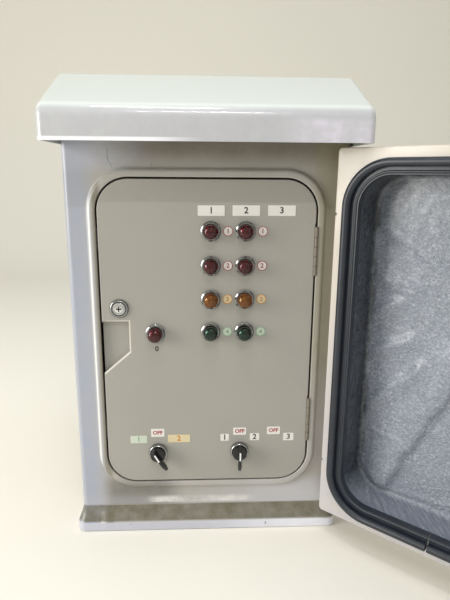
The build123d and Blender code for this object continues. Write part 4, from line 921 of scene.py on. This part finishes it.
# %% [markdown]
# ## The raw tray inside the door
# The outer door is laid up by hand: mats of chopped glass fibre are wetted with resin. Its inside
# is never polished, so it shows the mat's weave of strands, and the resin pools in shiny patches.
# The lining is a pan: a plane with rounded corners, walls extruded from its edge, a round where
# they meet, then a fine grid whose points are lifted by folds and by a noise.

# %% Resin and glass fibre
fibre, tree, shader = new_material(
    "hand_laid_glass_fibre", IOR=1.52, Coat_Weight=0.35, Coat_Roughness=0.2
)
at = object_place(tree)
heights = 0.0
# Strands 3 mm wide and twelve times as long, laid in four directions
for turn in (12, 57, 101, 148):
    lay = (math.radians(turn), 0.0, math.radians(turn * 0.4))
    links = {"Vector": at, "Rotation": lay, "Scale": (1.0, 0.08, 1.0)}
    laid = put(tree, "ShaderNodeMapping", links)
    strands = noise_of(tree, laid.outputs["Vector"], 0.003, 2.0)
    heights = reckon(tree, "MAXIMUM", heights, strands)
pools = noise_of(tree, at, 0.05, 4.0)
crumple = noise_of(tree, at, 0.007, 4.0, Distortion=1.2)
tone = ramped(
    tree, heights, (0.45, linear("646A74")), (0.62, linear("8C929D")), (0.8, linear("CCD0D8"))
)
cloudy = blend(tree, pools, tone, linear("7C828D"))
# Painted shade: where the lining's own attribute says, the walls that face away from the light,
# the floor beside them and the top end turn a dark laminate grey
painted_wall_shade = put(tree, "ShaderNodeAttribute", attribute_name="wall_shade").outputs["Fac"]
dark = ramped(tree, crumple, (0.4, linear("2A2E34")), (0.7, linear("565C66")))
gloss = ramped(tree, pools, (0.4, 0.5), (0.62, 0.26))
woven = relief(tree, heights, 0.5, 0.0010)
crumpled = relief(tree, crumple, 0.6, 0.0030, Normal=woven)
skin = blend(tree, painted_wall_shade, cloudy, dark)
connect(tree, shader, Base_Color=skin, Roughness=gloss, Normal=crumpled)
print("fibre:", fibre.name)

# %% The pan of the lining
TRAY_S, TRAY_Z = (23.0, 363.0), (77.0, 569.0)  # along the open door, and in height
TRAY_FLOOR, TRAY_TOP, TRAY_CORNER = -50.0, 3.2, 46.0
SHY = 0.35  # the lining stays this far inside the tray's walls
WIDTH, HEIGHT = (b - a - 2 * SHY for a, b in (TRAY_S, TRAY_Z))
lining = begin("tray_lining", bpy.ops.mesh.primitive_plane_add, size=1)
bpy.ops.transform.resize(value=(WIDTH * MM, HEIGHT * MM, 1))
bpy.ops.mesh.bevel(offset=(TRAY_CORNER - SHY) * MM, segments=9, affect="VERTICES")
bpy.ops.mesh.select_mode(type="EDGE")
bpy.ops.mesh.select_all(action="SELECT")
bpy.ops.mesh.extrude_edges_move(
    TRANSFORM_OT_translate={"value": (0, 0, (TRAY_TOP - TRAY_FLOOR - SHY) * MM)}
)
choose("edges", lambda e: all(abs(v.co.z) < 1e-6 for v in e.verts))
bpy.ops.mesh.bevel(offset=7 * MM, segments=4, affect="EDGES")
GRID = 3.5  # from one cut of the grid to the next
for axis, low, high in ((0, -WIDTH / 2, WIDTH / 2), (1, -HEIGHT / 2, HEIGHT / 2), (2, 8.0, 52.0)):
    for k in range(1, int((high - low) / GRID)):
        centre, normal = [0.0, 0.0, 0.0], [0.0, 0.0, 0.0]
        centre[axis] = (low + k * GRID) * MM
        normal[axis] = 1.0
        bpy.ops.mesh.select_all(action="SELECT")
        bpy.ops.mesh.bisect(plane_co=centre, plane_no=normal)
bpy.ops.mesh.select_all(action="SELECT")
bpy.ops.mesh.normals_make_consistent(inside=True)
close_mesh()
print("pan:", len(lining.data.vertices), "points")

# %% Folds in the lining, and its wall shade
# A fold runs from one place (s, z) to another; it has a height and a width on either side
FOLDS = [
    ((29, 214), (103, 292), 4.5, 7, 14),
    ((24, 303), (88, 334), 4.0, 6, 14),
    ((55, 60), (170, 320), 7.5, 34, 7),
    ((30, 416), (90, 400), 2.4, 18, 5),
    ((26, 366), (69, 388), 3.6, 6, 15),
    ((33, 497), (110, 450), 2.2, 20, 6),
    ((100, 172), (146, 285), 2.6, 6, 6),
    ((29, 181), (110, 172), 1.4, 3, 4),
    ((77, 86), (175, 98), 1.6, 3, 5),
    ((50, 240), (66, 262), 1.2, 4, 4),
]
# Twelve more, by chance, in the part of the tray that the photo's frame cuts off
random.seed(11)
for _ in range(12):
    s0, z0 = random.uniform(170, 320), random.uniform(100, 520)
    reach, lean = random.uniform(40, 110), math.radians(random.uniform(25, 75))
    far = (s0 + reach * math.cos(lean), z0 + reach * math.sin(lean))
    width = random.uniform(6, 26)
    FOLDS.append(((s0, z0), far, random.uniform(1.5, 4.5), width, random.uniform(5, 9)))
MIDDLE = Vector((sum(TRAY_S) / 2, sum(TRAY_Z) / 2))
WANDER, FADE = 5, 14  # how far a fold strays from its line, and runs on past its ends


def fold_lift(here):
    """How far the folds raise the floor at a place (s, z), all in mm."""
    lift = 0.0
    wander = WANDER * noise.noise(Vector((here.x * 0.03, here.y * 0.03, 0.0)))
    for start, end, height, left, right in FOLDS:
        run = Vector(end) - Vector(start)
        offset = here - Vector(start)
        along = offset.dot(run) / run.length_squared
        across = (run.x * offset.y - run.y * offset.x) / run.length + wander
        beyond = max(0.0, -along, along - 1) * run.length
        width = left if across > 0 else right
        lift += height * math.exp(-((across / width) ** 2) - (beyond / FADE) ** 2)
    return lift


def grow(value, none_at, full_at):
    """0 on one side of two values and 1 on the other, with a straight line between them."""
    return min(1.0, max(0.0, (value - none_at) / (full_at - none_at)))


def wall_gap(x, y):
    """The distance to the pan's outline, from a place measured from its middle, in mm."""
    beyond = Vector((abs(x) - WIDTH / 2 + TRAY_CORNER, abs(y) - HEIGHT / 2 + TRAY_CORNER))
    outside = Vector((max(beyond.x, 0.0), max(beyond.y, 0.0))).length
    return TRAY_CORNER - outside - min(max(beyond.x, beyond.y), 0.0)


shade = lining.data.attributes.new("wall_shade", "FLOAT", "POINT")
for point, value in zip(lining.data.vertices, shade.data):
    x, y, height = (c / MM for c in point.co)
    gap = wall_gap(x, y)
    uneven = 4 * noise.noise(Vector((x * 0.04, y * 0.04, 3.0)))
    # Painted shade: the walls' shadow reaches onto the floor, less at the low end, and a painted
    # shadow lies over the top end
    edge = grow(gap - uneven, 9, 3)
    low_end = grow(-y, HEIGHT / 2 - 34, HEIGHT / 2 - 4)
    gloom = 0.55 * grow(y, HEIGHT / 2 - 38, HEIGHT / 2 + 22)
    value.value = max(edge * (1 - 0.8 * low_end), gloom)
    # The floor rises with the folds, a slow sag and a fine swell, but not beside the wall
    here = Vector((x, y)) + MIDDLE
    sag = 1.1 * max(0.0, noise.noise(Vector((x * 0.012, y * 0.012, 1.7))))
    swell = 0.45 * (0.6 + noise.fractal(point.co * 70.0, 0.9, 2.1, 4))
    lift = max(0.0, min(8.0, fold_lift(here)) + sag + swell)
    point.co.z += lift * grow(gap, 3, 15) * grow(height, 6, 0) * MM
middle = on_door(MIDDLE.x, MIDDLE.y, TRAY_FLOOR + 0.3)
settle(lining, "outer_door", fibre, middle, smooth=60)
print("lining:", len(lining.data.polygons), "faces,", len(FOLDS), "folds")

# %% [markdown]
# ## The studio
# The floor and the wall behind are one pale sheet that curves up, so no corner shows. The main
# light is large and low on the left, as daylight from an open door, and the sky fills the rest.

# %% Floor, lights and camera
floor = begin("studio_sheet", bpy.ops.mesh.primitive_plane_add, size=1)
bpy.ops.transform.resize(value=(40, 8, 1))  # wide, so that its ends stay out of the picture
bpy.ops.transform.translate(value=(0, -2.0, -0.0005))
choose("edges", lambda e: all(v.co.y > 1.9 for v in e.verts))
BEND = [math.radians(7.5 * k) for k in range(13)]
RADIUS = 1.2
SWEEP = [(RADIUS * math.sin(a), RADIUS * (1 - math.cos(a))) for a in BEND]
for (y0, z0), (y1, z1) in zip(SWEEP, SWEEP[1:]):
    bpy.ops.mesh.extrude_edges_move(TRANSFORM_OT_translate={"value": (0, y1 - y0, z1 - z0)})
bpy.ops.mesh.extrude_edges_move(TRANSFORM_OT_translate={"value": (0, 0, 4.0)})
close_mesh()
bpy.ops.object.shade_smooth_by_angle(angle=math.radians(30))
paper, tree, shader = new_material("pale_studio_paper", Roughness=0.9, Specular_IOR_Level=0.1)
shader.inputs["Base Color"].default_value = linear("F0ECDF")
floor.data.materials.append(paper)


def lamp(name, place, target, size, power, colour):
    """A rectangular light aimed at a target."""
    light = bpy.data.lights.new(name, "AREA")
    light.shape = "RECTANGLE"
    light.size, light.size_y = size
    light.energy = power
    light.color = linear(colour)[:3]
    obj = bpy.data.objects.new(name, light)
    bpy.context.scene.collection.objects.link(obj)
    obj.location = place
    obj.rotation_euler = (Vector(target) - Vector(place)).to_track_quat("-Z", "Y").to_euler()
    return obj


lamp("daylight_left", (-2.6, -1.15, 0.95), (0.0, -0.1, 0.35), (1.3, 1.6), 62, "FFFDF8")
sky_lamp = lamp("soft_top", (0.3, -0.6, 2.8), (0.0, 0.0, 0.4), (2.0, 1.2), 22, "F4F7FF")
sky_lamp.visible_glossy = False  # from above, only the thin tubes show in the hood's gloss
lamp("tube_high", (-0.22, -0.72, 2.58), (0.0, -0.2, 0.65), (0.8, 0.022), 8.0, "FFFFFF")
lamp("tube_low", (0.0, -1.61, 2.06), (0.0, -0.2, 0.65), (0.85, 0.022), 8.0, "FFFFFF")

world = bpy.data.worlds.new("soft_sky")
bpy.context.scene.world = world
world.use_nodes = True
air = world.node_tree
sky = air.nodes["Background"]
sky.inputs["Color"].default_value = linear("F2F4F6")
sky.inputs["Strength"].default_value = 0.55
# The camera, metal and glass see the same pale cream past the sheet, whatever lights the object
rays = put(air, "ShaderNodeLightPath")
seen = rays.outputs["Is Camera Ray"]
for kind in ("Is Glossy Ray", "Is Transmission Ray"):
    seen = reckon(air, "MAXIMUM", seen, rays.outputs[kind])
cream = put(air, "ShaderNodeBackground", {"Color": linear("E2DDCD"), "Strength": 1.0})
either = put(air, "ShaderNodeMixShader", {0: seen, 1: sky.outputs[0], 2: cream.outputs[0]})
air.links.new(either.outputs[0], air.nodes["World Output"].inputs["Surface"])

# The camera stands where the photo was taken from, found by fitting the lamps' grid to it
YAW, PITCH, ROLL = (math.radians(a) for a in (2.67, 13.62, 0.41))
EYE = Vector((-9.2, -878.4, 566.1)) * MM
flat = math.cos(PITCH)
forward = Vector((math.sin(YAW) * flat, math.cos(YAW) * flat, -math.sin(PITCH)))
level = Vector((math.cos(YAW), -math.sin(YAW), 0.0))
above = level.cross(forward)
right = math.cos(ROLL) * level + math.sin(ROLL) * above
up = -math.sin(ROLL) * level + math.cos(ROLL) * above
camera_data = bpy.data.cameras.new("photo_camera")
camera_data.sensor_width = 36.0
camera_data.lens = 520 / 600 * 36.0  # a focal length of 520 pixels in a frame 600 high
camera_data.clip_start = 0.02
camera = bpy.data.objects.new("photo_camera", camera_data)
bpy.context.scene.collection.objects.link(camera)
turned_axes = Matrix((right, up, -forward)).transposed().to_4x4()
camera.matrix_world = Matrix.Translation(EYE) @ turned_axes
bpy.context.scene.camera = camera
bpy.context.scene.view_settings.view_transform = "Standard"
print("camera:", [round(c, 3) for c in camera.location])
